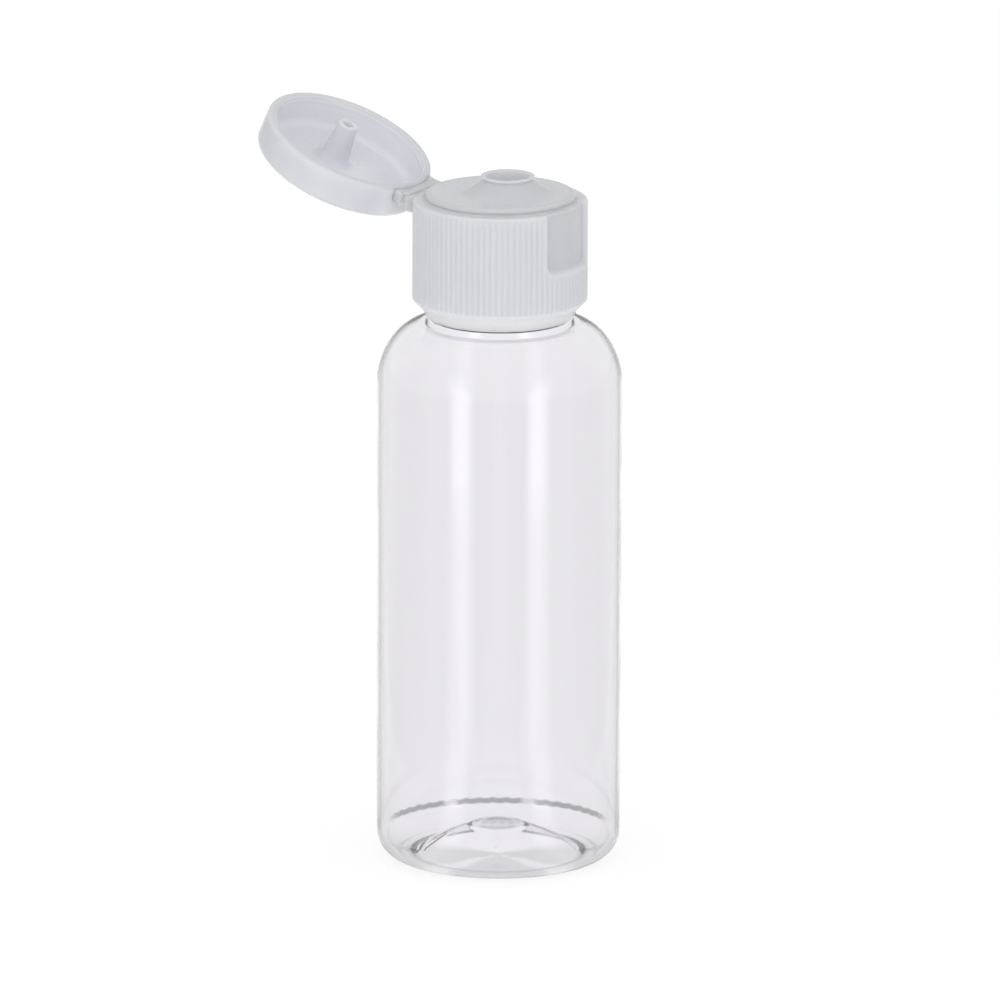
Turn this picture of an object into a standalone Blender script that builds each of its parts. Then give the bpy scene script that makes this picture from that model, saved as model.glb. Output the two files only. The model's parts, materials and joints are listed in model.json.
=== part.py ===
"""Clear travel bottle with a flip-top closure, one object for each sub-part.

Units are metres and +Z is up. The bottle stands on z = 0. The closure's hinge
faces -X and its thumb recess faces +X. The lid is open, as in the photograph.
"""
import math

import bmesh
import bpy

MM = 0.001

# bottle body
BODY_RADIUS = 17.15 * MM
HEEL_TAPER = 0.13 * MM
HEEL_RADIUS = 3.92 * MM
STRAIGHT_TOP = 68.5 * MM
SHOULDER_HEIGHT = 8.25 * MM
SHOULDER_LEDGE = 1.05 * MM
SHOULDER_WALL = 1.4 * MM
SHOULDER_POWER = 1.8
WALL = 0.5 * MM
FOOT_WIDTH = 0.8 * MM
PUSH_UP = 4.2 * MM
PUSH_UP_DISC = 3.8 * MM
DISC_STEP = 0.3 * MM
DOME_SLOPE = 0.85
DOME_POWER = 3
BASE_THICKNESS = 0.6 * MM

# neck finish, 20 mm with 8 threads to the inch
BORE_RADIUS = 7.3 * MM
NECK_WALL = 1.45 * MM
NECK_HEIGHT = 17.15 * MM
NECK_EDGE = 0.2 * MM
MOUTH_EDGE = 0.3 * MM
BEAD_LIP = 0.55 * MM
BEAD_HEIGHT = 0.75 * MM
THREAD_DEPTH = 1.05 * MM
THREAD_PITCH = 25.4 / 8 * MM
THREAD_TURNS = 1.5
THREAD_RUN_OUT_TURNS = 0.125
THREAD_ROOT_WIDTH = 1.9 * MM
THREAD_CREST_WIDTH = 0.9 * MM
THREAD_TOP_SETBACK = 2.2 * MM

# closure
GAP = 0.3 * MM
CAP_WALL = 2.15 * MM
SKIRT_LIFT = 0.6 * MM
CHAMFER_HEIGHT = 2.06 * MM
CREASE_INSET = 1.15 * MM
CREASE_DROP = 1.0 * MM
FOOT_LAND = 0.4 * MM
SHOULDER_EDGE = 0.3 * MM
RIB_COUNT = 90
RIB_DEPTH = 0.18 * MM
RIB_TOP_SETBACK = 0.35 * MM
CAP_THREAD_CREST_WIDTH = 0.7 * MM
CAP_THREAD_ROOT_WIDTH = 1.6 * MM
DECK_INSET = 1.69 * MM
DECK_RISE = 1.0 * MM
DECK_EDGE = 0.4 * MM
DECK_THICKNESS = 1.3 * MM
RECESS_HALF_WIDTH = 5.4 * MM
RECESS_HEIGHT = 8.5 * MM
RECESS_DEPTH = 0.75 * MM
RECESS_CORNER = 1.4 * MM

# spout and seal
SPOUT_OFFSET = 1.21 * MM
SPOUT_HEIGHT = 2.55 * MM
SPOUT_COLLAR = 0.82 * MM
SPOUT_MOUTH_RADIUS = 3.11 * MM
SPOUT_LIP_WIDTH = 0.67 * MM
SPOUT_LIP_OVERHANG = 0.33 * MM
SPOUT_LIP_EDGE = 0.15 * MM
SPOUT_FLARE_RADIUS = 6.3 * MM
ORIFICE_RADIUS = 1.95 * MM
SPOUT_WALL = 1.75 * MM
SEAL_DEPTH = 2.7 * MM
SEAL_WALL = 0.8 * MM
SEAL_TAPER_HEIGHT = 0.8 * MM

# lid
LID_HEADROOM = 0.68 * MM
LID_EDGE = 1.25 * MM
LID_INNER_EDGE = 0.5 * MM
LID_WALL = 1.2 * MM
LID_CEILING = 1.0 * MM
LID_SEAT_GAP = 0.1 * MM
LID_OPEN_DEG = 155.0
SNAP_GAP = 0.2 * MM
SNAP_FLANK = 0.3 * MM
PIN_CLEARANCE = 0.5 * MM
PIN_BASE_RADIUS = 2.6 * MM
PIN_BASE_HEIGHT = 1.6 * MM
PIN_REACH = 2.0 * MM
PIN_EDGE = 0.3 * MM
PIN_HOLLOW_RADIUS = 0.75 * MM
PIN_HOLLOW_DEPTH = 1.5 * MM

# living hinge
HINGE_STANDOFF = 0.53 * MM
HINGE_BASE_HALF = 5.0 * MM
HINGE_LID_HALF = 6.0 * MM
HINGE_BASE_DROP = 2.0 * MM
HINGE_LID_RISE = 1.9 * MM
HINGE_CORNER = 0.9 * MM
HINGE_PAD_DEPTH = 0.45 * MM

# facets, and how far a cutter runs past what it cuts
ROUND_STEPS = 60
SMALL_STEPS = 28
DOME_STEPS = 6
HEEL_STEPS = 6
SHOULDER_STEPS = 7
EDGE_STEPS = 3
FILLET_STEPS = 5
SLAB_STEPS = 10
THREAD_STEPS_PER_TURN = 30
SMOOTH_ANGLE = math.radians(35)
CUT_MARGIN = 1.0 * MM
WELD_DISTANCE = 0.001 * MM

# radii that the sizes above give
NECK_RADIUS = BORE_RADIUS + NECK_WALL
THREAD_RADIUS = NECK_RADIUS + THREAD_DEPTH
BEAD_RADIUS = THREAD_RADIUS + BEAD_LIP
SHOULDER_TOP_RADIUS = BEAD_RADIUS + SHOULDER_LEDGE
CAP_BORE_RADIUS = THREAD_RADIUS + GAP
CAP_RADIUS = CAP_BORE_RADIUS + CAP_WALL
DECK_RADIUS = CAP_RADIUS - DECK_INSET
SPOUT_STEM_RADIUS = ORIFICE_RADIUS + SPOUT_WALL
SPOUT_LIP_RADIUS = SPOUT_MOUTH_RADIUS + SPOUT_LIP_WIDTH
SPOUT_NECK_RADIUS = SPOUT_LIP_RADIUS - SPOUT_LIP_OVERHANG
PIN_RADIUS = ORIFICE_RADIUS - PIN_CLEARANCE
HINGE_REACH = CAP_RADIUS + HINGE_STANDOFF

# levels that the sizes above give
SHOULDER_TOP = STRAIGHT_TOP + SHOULDER_HEIGHT
BEAD_TOP = SHOULDER_TOP + NECK_EDGE + BEAD_HEIGHT
FINISH_TOP = SHOULDER_TOP + NECK_HEIGHT
DECK_UNDERSIDE = FINISH_TOP + GAP
DECK_TOP = DECK_UNDERSIDE + DECK_THICKNESS
SHOULDER_LEVEL = DECK_TOP - DECK_RISE
SKIRT_BOTTOM = BEAD_TOP + SKIRT_LIFT
SPOUT_TOP = DECK_TOP + SPOUT_HEIGHT
LID_RIM = SHOULDER_LEVEL + LID_SEAT_GAP
LID_CEILING_LEVEL = SPOUT_TOP + LID_HEADROOM
LID_TOP = LID_CEILING_LEVEL + LID_CEILING
HINGE_LEVEL = SHOULDER_LEVEL + LID_SEAT_GAP / 2

# the box around the open bottle is centred on the world's Z axis
OPEN_TILT = math.radians(180.0 - LID_OPEN_DEG)
LID_SPAN = HINGE_REACH + CAP_RADIUS - LID_EDGE
LID_EDGE_RISE = LID_TOP - LID_EDGE - HINGE_LEVEL
LID_FAR_REACH = (HINGE_REACH + LID_SPAN * math.cos(OPEN_TILT)
                 + LID_EDGE_RISE * math.sin(OPEN_TILT) + LID_EDGE)
AXIS_X = (LID_FAR_REACH - BODY_RADIUS) / 2


def clear_scene():
    """Remove every object of the open file."""
    for item in list(bpy.data.objects):
        bpy.data.objects.remove(item, do_unlink=True)


def make_material(name, colour, roughness, alpha=1.0, ior=1.49, transmission=0.0):
    """A Principled material with the colour given as linear RGB."""
    material = bpy.data.materials.new(name)
    material.use_nodes = True
    shader = material.node_tree.nodes["Principled BSDF"]
    shader.inputs["Base Color"].default_value = (*colour, 1.0)
    shader.inputs["Roughness"].default_value = roughness
    shader.inputs["Metallic"].default_value = 0.0
    shader.inputs["IOR"].default_value = ior
    shader.inputs["Alpha"].default_value = alpha
    shader.inputs["Transmission Weight"].default_value = transmission
    material.diffuse_color = (*colour, alpha)
    return material


def arc(centre_r, centre_z, radius, start_deg, end_deg, steps=EDGE_STEPS):
    """Points of an arc in the (radius, height) plane, both ends included."""
    points = []
    for step in range(steps + 1):
        angle = math.radians(start_deg + (end_deg - start_deg) * step / steps)
        points.append((centre_r + radius * math.cos(angle), centre_z + radius * math.sin(angle)))
    return points


def shoulder_curve(outer_radius, top_radius, height):
    """Points of the round shoulder, from the straight wall up to the neck."""
    inset = outer_radius - top_radius
    points = []
    for step in range(SHOULDER_STEPS + 1):
        angle = math.radians(90.0 * step / SHOULDER_STEPS)
        across = max(math.cos(angle), 0.0) ** (2.0 / SHOULDER_POWER)
        rise = math.sin(angle) ** (2.0 / SHOULDER_POWER)
        points.append((outer_radius - inset * (1.0 - across), STRAIGHT_TOP + height * rise))
    return points


def add_object(name, bm, material, location=(0.0, 0.0, 0.0), parent=None):
    """Turn a bmesh into a smooth-shaded object whose normals face out."""
    bmesh.ops.recalc_face_normals(bm, faces=bm.faces)
    mesh = bpy.data.meshes.new(name)
    bm.to_mesh(mesh)
    bm.free()
    mesh.shade_smooth()
    mesh.set_sharp_from_angle(angle=SMOOTH_ANGLE)
    item = bpy.data.objects.new(name, mesh)
    item.location = location
    item.parent = parent
    if material is not None:
        mesh.materials.append(material)
    bpy.context.scene.collection.objects.link(item)
    return item


def lathe(profile, steps, centre_x=0.0):
    """Spin a closed outline of (radius, height) points about a vertical axis."""
    bm = bmesh.new()
    verts = [bm.verts.new((r, 0.0, z)) for r, z in profile]
    for first, second in zip(verts, verts[1:]):
        bm.edges.new((first, second))
    if profile[0][0] > 0.0:
        bm.edges.new((verts[-1], verts[0]))
    bmesh.ops.spin(bm, geom=bm.verts[:] + bm.edges[:], cent=(0.0, 0.0, 0.0), axis=(0.0, 0.0, 1.0),
                   dvec=(0.0, 0.0, 0.0), angle=math.tau, steps=steps, use_duplicate=False)
    bmesh.ops.remove_doubles(bm, verts=bm.verts, dist=WELD_DISTANCE)
    bmesh.ops.translate(bm, verts=bm.verts, vec=(centre_x, 0.0, 0.0))
    return bm


def thread_ridge(wall_radius, crest_radius, crest_width, root_width, start_z, start_deg, turns):
    """A helical ridge with run-out ends, sunk a little into the wall it stands on."""
    outward = 1.0 if crest_radius > wall_radius else -1.0
    sunk_radius = wall_radius - outward * GAP
    slope = (root_width - crest_width) / abs(crest_radius - wall_radius)
    sunk_width = root_width + slope * GAP
    count = round(turns * THREAD_STEPS_PER_TURN)
    bm = bmesh.new()
    sections = []
    for step in range(count + 1):
        turn = turns * step / count
        angle = math.radians(start_deg) + turn * math.tau
        level = start_z + turn * THREAD_PITCH
        ease = min(1.0, turn / THREAD_RUN_OUT_TURNS, (turns - turn) / THREAD_RUN_OUT_TURNS)
        end_radius = wall_radius - outward * GAP / 2
        top_radius = end_radius + (crest_radius - end_radius) * ease
        corners = ((sunk_radius, -sunk_width / 2), (top_radius, -crest_width / 2),
                   (top_radius, crest_width / 2), (sunk_radius, sunk_width / 2))
        ring = []
        for radius, rise in corners:
            ring.append(bm.verts.new((radius * math.cos(angle), radius * math.sin(angle), level + rise)))
        sections.append(ring)
    for ring, following in zip(sections, sections[1:]):
        for index in range(4):
            after = (index + 1) % 4
            bm.faces.new((ring[index], ring[after], following[after], following[index]))
    bm.faces.new(sections[0][::-1])
    bm.faces.new(sections[-1])
    return bm


def curved_slab(back_radius, front_reach, half_width, low, high, low_corner, high_corner, side):
    """A slab whose back follows a cylinder about Z and whose front is flat.

    side is +1 to face +X and -1 to face -X. The corners of its front view are rounded.
    """
    bm = bmesh.new()
    sections = []
    for step in range(SLAB_STEPS + 1):
        across = -half_width * math.cos(math.pi * step / SLAB_STEPS)
        low_z = low + corner_lift(across, half_width, low_corner)
        high_z = high - corner_lift(across, half_width, high_corner)
        back = math.sqrt(back_radius ** 2 - across ** 2)
        corners = ((back, low_z), (front_reach, low_z), (front_reach, high_z), (back, high_z))
        sections.append([bm.verts.new((side * x, across, z)) for x, z in corners])
    for ring, following in zip(sections, sections[1:]):
        for index in range(4):
            after = (index + 1) % 4
            bm.faces.new((ring[index], ring[after], following[after], following[index]))
    bm.faces.new(sections[0][::-1])
    bm.faces.new(sections[-1])
    return bm


def corner_lift(across, half_width, corner):
    """How far a rounded corner's edge has left the straight edge at this width."""
    into = abs(across) - (half_width - corner)
    if corner <= 0.0 or into <= 0.0:
        return 0.0
    return corner - math.sqrt(max(corner ** 2 - into ** 2, 0.0))


def combine(item, bm, operation, name):
    """Cut or join a helper solid into an object with an exact Boolean."""
    helper = add_object(name, bm, None, parent=item)
    helper.hide_render = True
    helper.display_type = "WIRE"
    modifier = item.modifiers.new(name, "BOOLEAN")
    modifier.operation = operation
    modifier.solver = "EXACT"
    modifier.object = helper


def dome_curve(reach):
    """The push-up of the base, from its disc out to this radius: nearly a straight cone."""
    points = []
    for step in range(DOME_STEPS + 1):
        along = step / DOME_STEPS
        fall = DOME_SLOPE * along + (1.0 - DOME_SLOPE) * along ** DOME_POWER
        points.append((PUSH_UP_DISC + (reach - PUSH_UP_DISC) * along, PUSH_UP * (1.0 - fall)))
    return points


def bottle_profile():
    """The wall of the bottle: underside, outside, neck, inside and inner floor."""
    foot_outer = BODY_RADIUS - HEEL_TAPER - HEEL_RADIUS
    foot_inner = foot_outer - FOOT_WIDTH
    disc_edge = PUSH_UP_DISC - DISC_STEP
    disc_level = PUSH_UP + DISC_STEP
    inner_dome = dome_curve(foot_inner + BASE_THICKNESS)[:-1]
    outside = [(0.0, disc_level), (disc_edge, disc_level)]
    outside += dome_curve(foot_inner)
    outside += arc(foot_outer, HEEL_RADIUS, HEEL_RADIUS, -90.0, 0.0, HEEL_STEPS)
    outside += shoulder_curve(BODY_RADIUS, SHOULDER_TOP_RADIUS, SHOULDER_HEIGHT)
    outside += [(BEAD_RADIUS + NECK_EDGE, SHOULDER_TOP + NECK_EDGE / 2),
                (BEAD_RADIUS, SHOULDER_TOP + 3 * NECK_EDGE / 2),
                (BEAD_RADIUS, BEAD_TOP - NECK_EDGE),
                (BEAD_RADIUS - NECK_EDGE, BEAD_TOP),
                (NECK_RADIUS, BEAD_TOP),
                (NECK_RADIUS, FINISH_TOP - MOUTH_EDGE),
                (NECK_RADIUS - MOUTH_EDGE, FINISH_TOP),
                (BORE_RADIUS + NECK_EDGE, FINISH_TOP),
                (BORE_RADIUS, FINISH_TOP - NECK_EDGE),
                (BORE_RADIUS, BEAD_TOP - NECK_EDGE)]
    inside = shoulder_curve(BODY_RADIUS - WALL, SHOULDER_TOP_RADIUS - SHOULDER_WALL,
                            SHOULDER_HEIGHT - WALL)[::-1]
    inside += arc(foot_outer, HEEL_RADIUS, HEEL_RADIUS - WALL, 0.0, -90.0, HEEL_STEPS - 1)
    inside += [(radius, level + BASE_THICKNESS) for radius, level in reversed(inner_dome)]
    inside += [(disc_edge, disc_level + BASE_THICKNESS), (0.0, disc_level + BASE_THICKNESS)]
    return outside + inside


def build_bottle(material):
    bottle = add_object("bottle", lathe(bottle_profile(), ROUND_STEPS), material, (AXIS_X, 0.0, 0.0))
    start = FINISH_TOP - THREAD_TOP_SETBACK - THREAD_TURNS * THREAD_PITCH
    ridge = thread_ridge(NECK_RADIUS, THREAD_RADIUS, THREAD_CREST_WIDTH, THREAD_ROOT_WIDTH,
                         start, 0.0, THREAD_TURNS)
    combine(bottle, ridge, "UNION", "neck_thread")
    return bottle


def shell_profile():
    """The ribbed skirt, from the seat of the deck over the shoulder and down to the foot."""
    seat_radius = DECK_RADIUS + GAP
    seat_level = DECK_UNDERSIDE - GAP
    chamfer_top = SKIRT_BOTTOM + CHAMFER_HEIGHT
    return [(seat_radius, SHOULDER_LEVEL),
            (CAP_RADIUS - SHOULDER_EDGE, SHOULDER_LEVEL),
            (CAP_RADIUS, SHOULDER_LEVEL - SHOULDER_EDGE),
            (CAP_RADIUS, SHOULDER_LEVEL - SHOULDER_EDGE - RIB_TOP_SETBACK),
            (CAP_RADIUS, chamfer_top),
            (CAP_RADIUS - CREASE_INSET, chamfer_top - CREASE_DROP),
            (CAP_BORE_RADIUS + FOOT_LAND, SKIRT_BOTTOM),
            (CAP_BORE_RADIUS, SKIRT_BOTTOM),
            (CAP_BORE_RADIUS, seat_level),
            (seat_radius, seat_level)]


def cut_ribs(bm):
    """Draw every second column of the skirt's outside inwards, which leaves V-shaped ribs."""
    top = SHOULDER_LEVEL - SHOULDER_EDGE - RIB_TOP_SETBACK / 2
    bottom = SKIRT_BOTTOM + CHAMFER_HEIGHT - RIB_TOP_SETBACK
    for vert in bm.verts:
        reach = math.hypot(vert.co.x, vert.co.y)
        column = round(math.atan2(vert.co.y, vert.co.x) / math.tau * RIB_COUNT * 2)
        if column % 2 and bottom < vert.co.z < top and reach > CAP_RADIUS - SHOULDER_EDGE:
            scale = (reach - RIB_DEPTH) / reach
            vert.co.x *= scale
            vert.co.y *= scale


def build_closure_shell(material, parent):
    bm = lathe(shell_profile(), RIB_COUNT * 2)
    cut_ribs(bm)
    shell = add_object("closure_shell", bm, material, parent=parent)
    half_pitch = THREAD_PITCH / 2
    start = FINISH_TOP - THREAD_TOP_SETBACK - THREAD_TURNS * THREAD_PITCH - half_pitch
    ridge = thread_ridge(CAP_BORE_RADIUS, NECK_RADIUS + GAP, CAP_THREAD_CREST_WIDTH,
                         CAP_THREAD_ROOT_WIDTH, start, 0.0, THREAD_TURNS)
    combine(shell, ridge, "UNION", "skirt_thread")
    recess = curved_slab(CAP_RADIUS - RECESS_DEPTH, CAP_RADIUS + CUT_MARGIN, RECESS_HALF_WIDTH,
                         SHOULDER_LEVEL - RECESS_HEIGHT, SHOULDER_LEVEL + CUT_MARGIN,
                         RECESS_CORNER, 0.0, 1.0)
    combine(shell, recess, "DIFFERENCE", "thumb_recess")
    notch = curved_slab(CAP_RADIUS - HINGE_PAD_DEPTH - GAP, CAP_RADIUS + CUT_MARGIN,
                        HINGE_BASE_HALF + GAP, SHOULDER_LEVEL - HINGE_BASE_DROP - GAP,
                        SHOULDER_LEVEL + CUT_MARGIN, HINGE_CORNER, 0.0, -1.0)
    combine(shell, notch, "DIFFERENCE", "hinge_notch")
    return shell


def build_closure_deck(material, parent):
    """The raised disc that closes the skirt, with the round edge that the lid snaps over."""
    hole = SPOUT_STEM_RADIUS + GAP
    profile = [(0.0, DECK_UNDERSIDE), (DECK_RADIUS, DECK_UNDERSIDE)]
    profile += arc(DECK_RADIUS - DECK_EDGE, DECK_TOP - DECK_EDGE, DECK_EDGE, 0.0, 90.0)
    profile += [(0.0, DECK_TOP)]
    deck = add_object("closure_deck", lathe(profile, ROUND_STEPS), material, parent=parent)
    drill = [(0.0, DECK_UNDERSIDE - CUT_MARGIN), (hole, DECK_UNDERSIDE - CUT_MARGIN),
             (hole, DECK_TOP + CUT_MARGIN), (0.0, DECK_TOP + CUT_MARGIN)]
    combine(deck, lathe(drill, SMALL_STEPS, SPOUT_OFFSET), "DIFFERENCE", "spout_hole")
    return deck


def build_spout(material, parent):
    """The flared spout with its funnel mouth and the stem that passes through the deck."""
    flare_level = DECK_TOP + GAP
    flare_run = SPOUT_FLARE_RADIUS - SPOUT_NECK_RADIUS
    flare_rise = SPOUT_HEIGHT - GAP - SPOUT_LIP_EDGE - SPOUT_COLLAR
    profile = [(ORIFICE_RADIUS, DECK_UNDERSIDE), (SPOUT_STEM_RADIUS, DECK_UNDERSIDE),
               (SPOUT_STEM_RADIUS, flare_level), (SPOUT_FLARE_RADIUS, flare_level)]
    for step in range(FILLET_STEPS + 1):
        angle = math.radians(90.0 * step / FILLET_STEPS)
        profile.append((SPOUT_FLARE_RADIUS - flare_run * math.sin(angle),
                        flare_level + SPOUT_LIP_EDGE + flare_rise * (1.0 - math.cos(angle))))
    profile += [(SPOUT_LIP_RADIUS, SPOUT_TOP - SPOUT_COLLAR / 2),
                (SPOUT_LIP_RADIUS, SPOUT_TOP - SPOUT_LIP_EDGE),
                (SPOUT_LIP_RADIUS - SPOUT_LIP_EDGE, SPOUT_TOP),
                (SPOUT_MOUTH_RADIUS + SPOUT_LIP_EDGE, SPOUT_TOP),
                (SPOUT_MOUTH_RADIUS, SPOUT_TOP - SPOUT_LIP_EDGE),
                (ORIFICE_RADIUS, flare_level)]
    return add_object("spout", lathe(profile, SMALL_STEPS), material, (SPOUT_OFFSET, 0.0, 0.0), parent)


def build_mouth_seal(material, parent):
    """The plug ring that presses into the bottle's mouth."""
    outer = BORE_RADIUS - GAP
    inner = outer - SEAL_WALL
    top = DECK_UNDERSIDE - GAP
    tip = top - SEAL_DEPTH
    profile = [(outer, top), (inner, top), (inner, tip), (outer - SEAL_WALL / 2, tip),
               (outer, tip + SEAL_TAPER_HEIGHT)]
    return add_object("mouth_seal", lathe(profile, ROUND_STEPS), material, (AXIS_X, 0.0, 0.0), parent)


def build_lid_shell(material, parent):
    """The lid as it lies closed, with its origin on the hinge line."""
    inner = CAP_RADIUS - LID_WALL
    snap = DECK_RADIUS + SNAP_GAP
    profile = [(0.0, LID_CEILING_LEVEL)]
    profile += arc(inner - LID_INNER_EDGE, LID_CEILING_LEVEL - LID_INNER_EDGE, LID_INNER_EDGE, 90.0, 0.0)
    profile += [(inner, LID_RIM + 3 * SNAP_FLANK), (snap, LID_RIM + 2 * SNAP_FLANK),
                (snap, LID_RIM + SNAP_FLANK), (inner, LID_RIM), (CAP_RADIUS, LID_RIM)]
    profile += arc(CAP_RADIUS - LID_EDGE, LID_TOP - LID_EDGE, LID_EDGE, 0.0, 90.0, FILLET_STEPS)
    profile += [(0.0, LID_TOP)]
    bm = lathe(profile, ROUND_STEPS)
    move_to_hinge(bm)
    lid = add_object("lid_shell", bm, material, parent=parent)
    notch = curved_slab(CAP_RADIUS - HINGE_PAD_DEPTH - GAP, CAP_RADIUS + CUT_MARGIN,
                        HINGE_LID_HALF + GAP, LID_RIM - CUT_MARGIN,
                        HINGE_LEVEL + GAP / 2 + HINGE_LID_RISE + GAP, 0.0, HINGE_CORNER, -1.0)
    move_to_hinge(notch)
    combine(lid, notch, "DIFFERENCE", "lid_hinge_notch")
    return lid


def move_to_hinge(bm):
    """Shift a shape drawn about the bottle's axis so that the hinge line is its origin."""
    bmesh.ops.translate(bm, verts=bm.verts, vec=(HINGE_REACH, 0.0, -HINGE_LEVEL))


def build_lid_pin(material, parent):
    """The hollow-ended pin that stops the spout's orifice when the lid is shut."""
    top = LID_CEILING_LEVEL - GAP
    tip = LID_RIM - PIN_REACH
    profile = [(0.0, tip + PIN_HOLLOW_DEPTH), (PIN_HOLLOW_RADIUS, tip + PIN_HOLLOW_DEPTH),
               (PIN_HOLLOW_RADIUS, tip), (PIN_RADIUS - PIN_EDGE, tip), (PIN_RADIUS, tip + PIN_EDGE)]
    for step in range(FILLET_STEPS + 1):
        angle = math.radians(90.0 * step / FILLET_STEPS)
        profile.append((PIN_BASE_RADIUS - (PIN_BASE_RADIUS - PIN_RADIUS) * math.cos(angle),
                        top - PIN_BASE_HEIGHT + (PIN_BASE_HEIGHT - PIN_EDGE) * math.sin(angle)))
    profile += [(PIN_BASE_RADIUS, top), (0.0, top)]
    bm = lathe(profile, SMALL_STEPS, SPOUT_OFFSET)
    move_to_hinge(bm)
    return add_object("lid_pin", bm, material, parent=parent)


def build_hinge_pads(material, closure, lid):
    """The two halves of the living hinge, one on the skirt and one on the lid."""
    back = CAP_RADIUS - HINGE_PAD_DEPTH
    front = HINGE_REACH - GAP / 2
    fixed = curved_slab(back, front, HINGE_BASE_HALF, SHOULDER_LEVEL - HINGE_BASE_DROP,
                        HINGE_LEVEL - GAP / 2, HINGE_CORNER, 0.0, -1.0)
    add_object("hinge_base_leaf", fixed, material, parent=closure)
    moving = curved_slab(back, front, HINGE_LID_HALF, HINGE_LEVEL + GAP / 2,
                         HINGE_LEVEL + GAP / 2 + HINGE_LID_RISE, 0.0, HINGE_CORNER, -1.0)
    move_to_hinge(moving)
    add_object("hinge_lid_leaf", moving, material, parent=lid)


def add_empty(name, location, parent=None):
    """An axis that moving pieces hang from."""
    empty = bpy.data.objects.new(name, None)
    empty.location = location
    empty.parent = parent
    bpy.context.scene.collection.objects.link(empty)
    return empty


def main():
    clear_scene()
    clear_pet = make_material("clear_pet", (0.80, 0.82, 0.86), 0.06, alpha=0.35, ior=1.575,
                              transmission=0.9)
    natural_pp = make_material("natural_polypropylene", (0.60, 0.62, 0.65), 0.34)
    soft_pe = make_material("seal_polyethylene", (0.66, 0.67, 0.68), 0.45)
    spout_pp = make_material("spout_polypropylene", (0.52, 0.54, 0.57), 0.36)
    pin_pp = make_material("pin_polypropylene", (0.55, 0.57, 0.60), 0.36)

    build_bottle(clear_pet)
    build_mouth_seal(soft_pe, None)
    turn_axis = add_empty("closure_axis", (AXIS_X, 0.0, 0.0))
    build_closure_shell(natural_pp, turn_axis)
    build_closure_deck(natural_pp, turn_axis)
    build_spout(spout_pp, turn_axis)
    lid_axis = add_empty("lid_axis", (-HINGE_REACH, 0.0, HINGE_LEVEL), turn_axis)
    lid_axis.rotation_euler.y = -math.radians(LID_OPEN_DEG)
    build_lid_shell(natural_pp, lid_axis)
    build_lid_pin(pin_pp, lid_axis)
    build_hinge_pads(natural_pp, turn_axis, lid_axis)


main()
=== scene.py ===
"""Looks of the clear travel bottle with its flip-top closure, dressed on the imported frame.

Sizes are in millimetres and +Z is up; meshes are written in metres. The bottle is
blow-moulded PET. The closure is one injection moulding of natural polypropylene, which
is made here in the pieces that move or meet.
"""
import json
import math

import bpy
import numpy as np
from mathutils import Matrix, Vector


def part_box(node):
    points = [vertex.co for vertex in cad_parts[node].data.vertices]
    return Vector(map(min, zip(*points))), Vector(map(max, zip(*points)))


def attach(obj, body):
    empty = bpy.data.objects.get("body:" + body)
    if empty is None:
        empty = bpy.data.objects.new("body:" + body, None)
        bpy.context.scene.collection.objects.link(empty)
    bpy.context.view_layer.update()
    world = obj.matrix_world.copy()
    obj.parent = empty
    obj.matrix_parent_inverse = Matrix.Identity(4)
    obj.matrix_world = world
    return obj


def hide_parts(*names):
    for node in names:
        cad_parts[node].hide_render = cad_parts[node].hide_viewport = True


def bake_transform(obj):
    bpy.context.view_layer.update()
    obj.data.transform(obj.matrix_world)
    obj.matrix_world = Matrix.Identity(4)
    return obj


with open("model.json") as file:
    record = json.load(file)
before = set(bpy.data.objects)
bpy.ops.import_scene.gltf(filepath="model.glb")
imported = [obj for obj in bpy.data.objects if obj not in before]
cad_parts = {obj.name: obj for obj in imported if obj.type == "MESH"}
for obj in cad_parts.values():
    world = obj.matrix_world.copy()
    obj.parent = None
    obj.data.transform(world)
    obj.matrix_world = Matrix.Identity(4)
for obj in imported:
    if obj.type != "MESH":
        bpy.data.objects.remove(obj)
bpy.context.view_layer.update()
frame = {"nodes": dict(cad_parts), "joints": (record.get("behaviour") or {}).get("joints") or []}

MM = 0.001

# sizes and places read from the frame
BOTTLE_LOW, BOTTLE_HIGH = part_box("bottle")
SHELL_LOW, SHELL_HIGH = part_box("closure_shell")
DECK_LOW, DECK_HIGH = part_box("closure_deck")
SPOUT_LOW, SPOUT_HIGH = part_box("spout")
JOINTS = {joint["name"]: joint for joint in frame["joints"]}
HINGE_POINT = Vector(JOINTS["lid_hinge"]["pos_m"])
OPEN_ANGLE = math.radians(-JOINTS["lid_hinge"]["range_deg"][0])
AXIS_X = (BOTTLE_LOW.x + BOTTLE_HIGH.x) / 2 / MM
BODY_RADIUS = (BOTTLE_HIGH.y - BOTTLE_LOW.y) / 2 / MM
MOUTH_LEVEL = BOTTLE_HIGH.z / MM
CAP_RADIUS = (SHELL_HIGH.y - SHELL_LOW.y) / 2 / MM
SHOULDER_LEVEL = SHELL_HIGH.z / MM
SKIRT_BOTTOM = SHELL_LOW.z / MM
DECK_RADIUS = (DECK_HIGH.y - DECK_LOW.y) / 2 / MM
DECK_UNDERSIDE = DECK_LOW.z / MM
DECK_TOP = DECK_HIGH.z / MM
SPOUT_SHIFT = (SPOUT_LOW.x + SPOUT_HIGH.x) / 2 / MM - AXIS_X
SPOUT_TOP = SPOUT_HIGH.z / MM
HINGE_REACH = AXIS_X - HINGE_POINT.x / MM
HINGE_LEVEL = HINGE_POINT.z / MM

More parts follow.
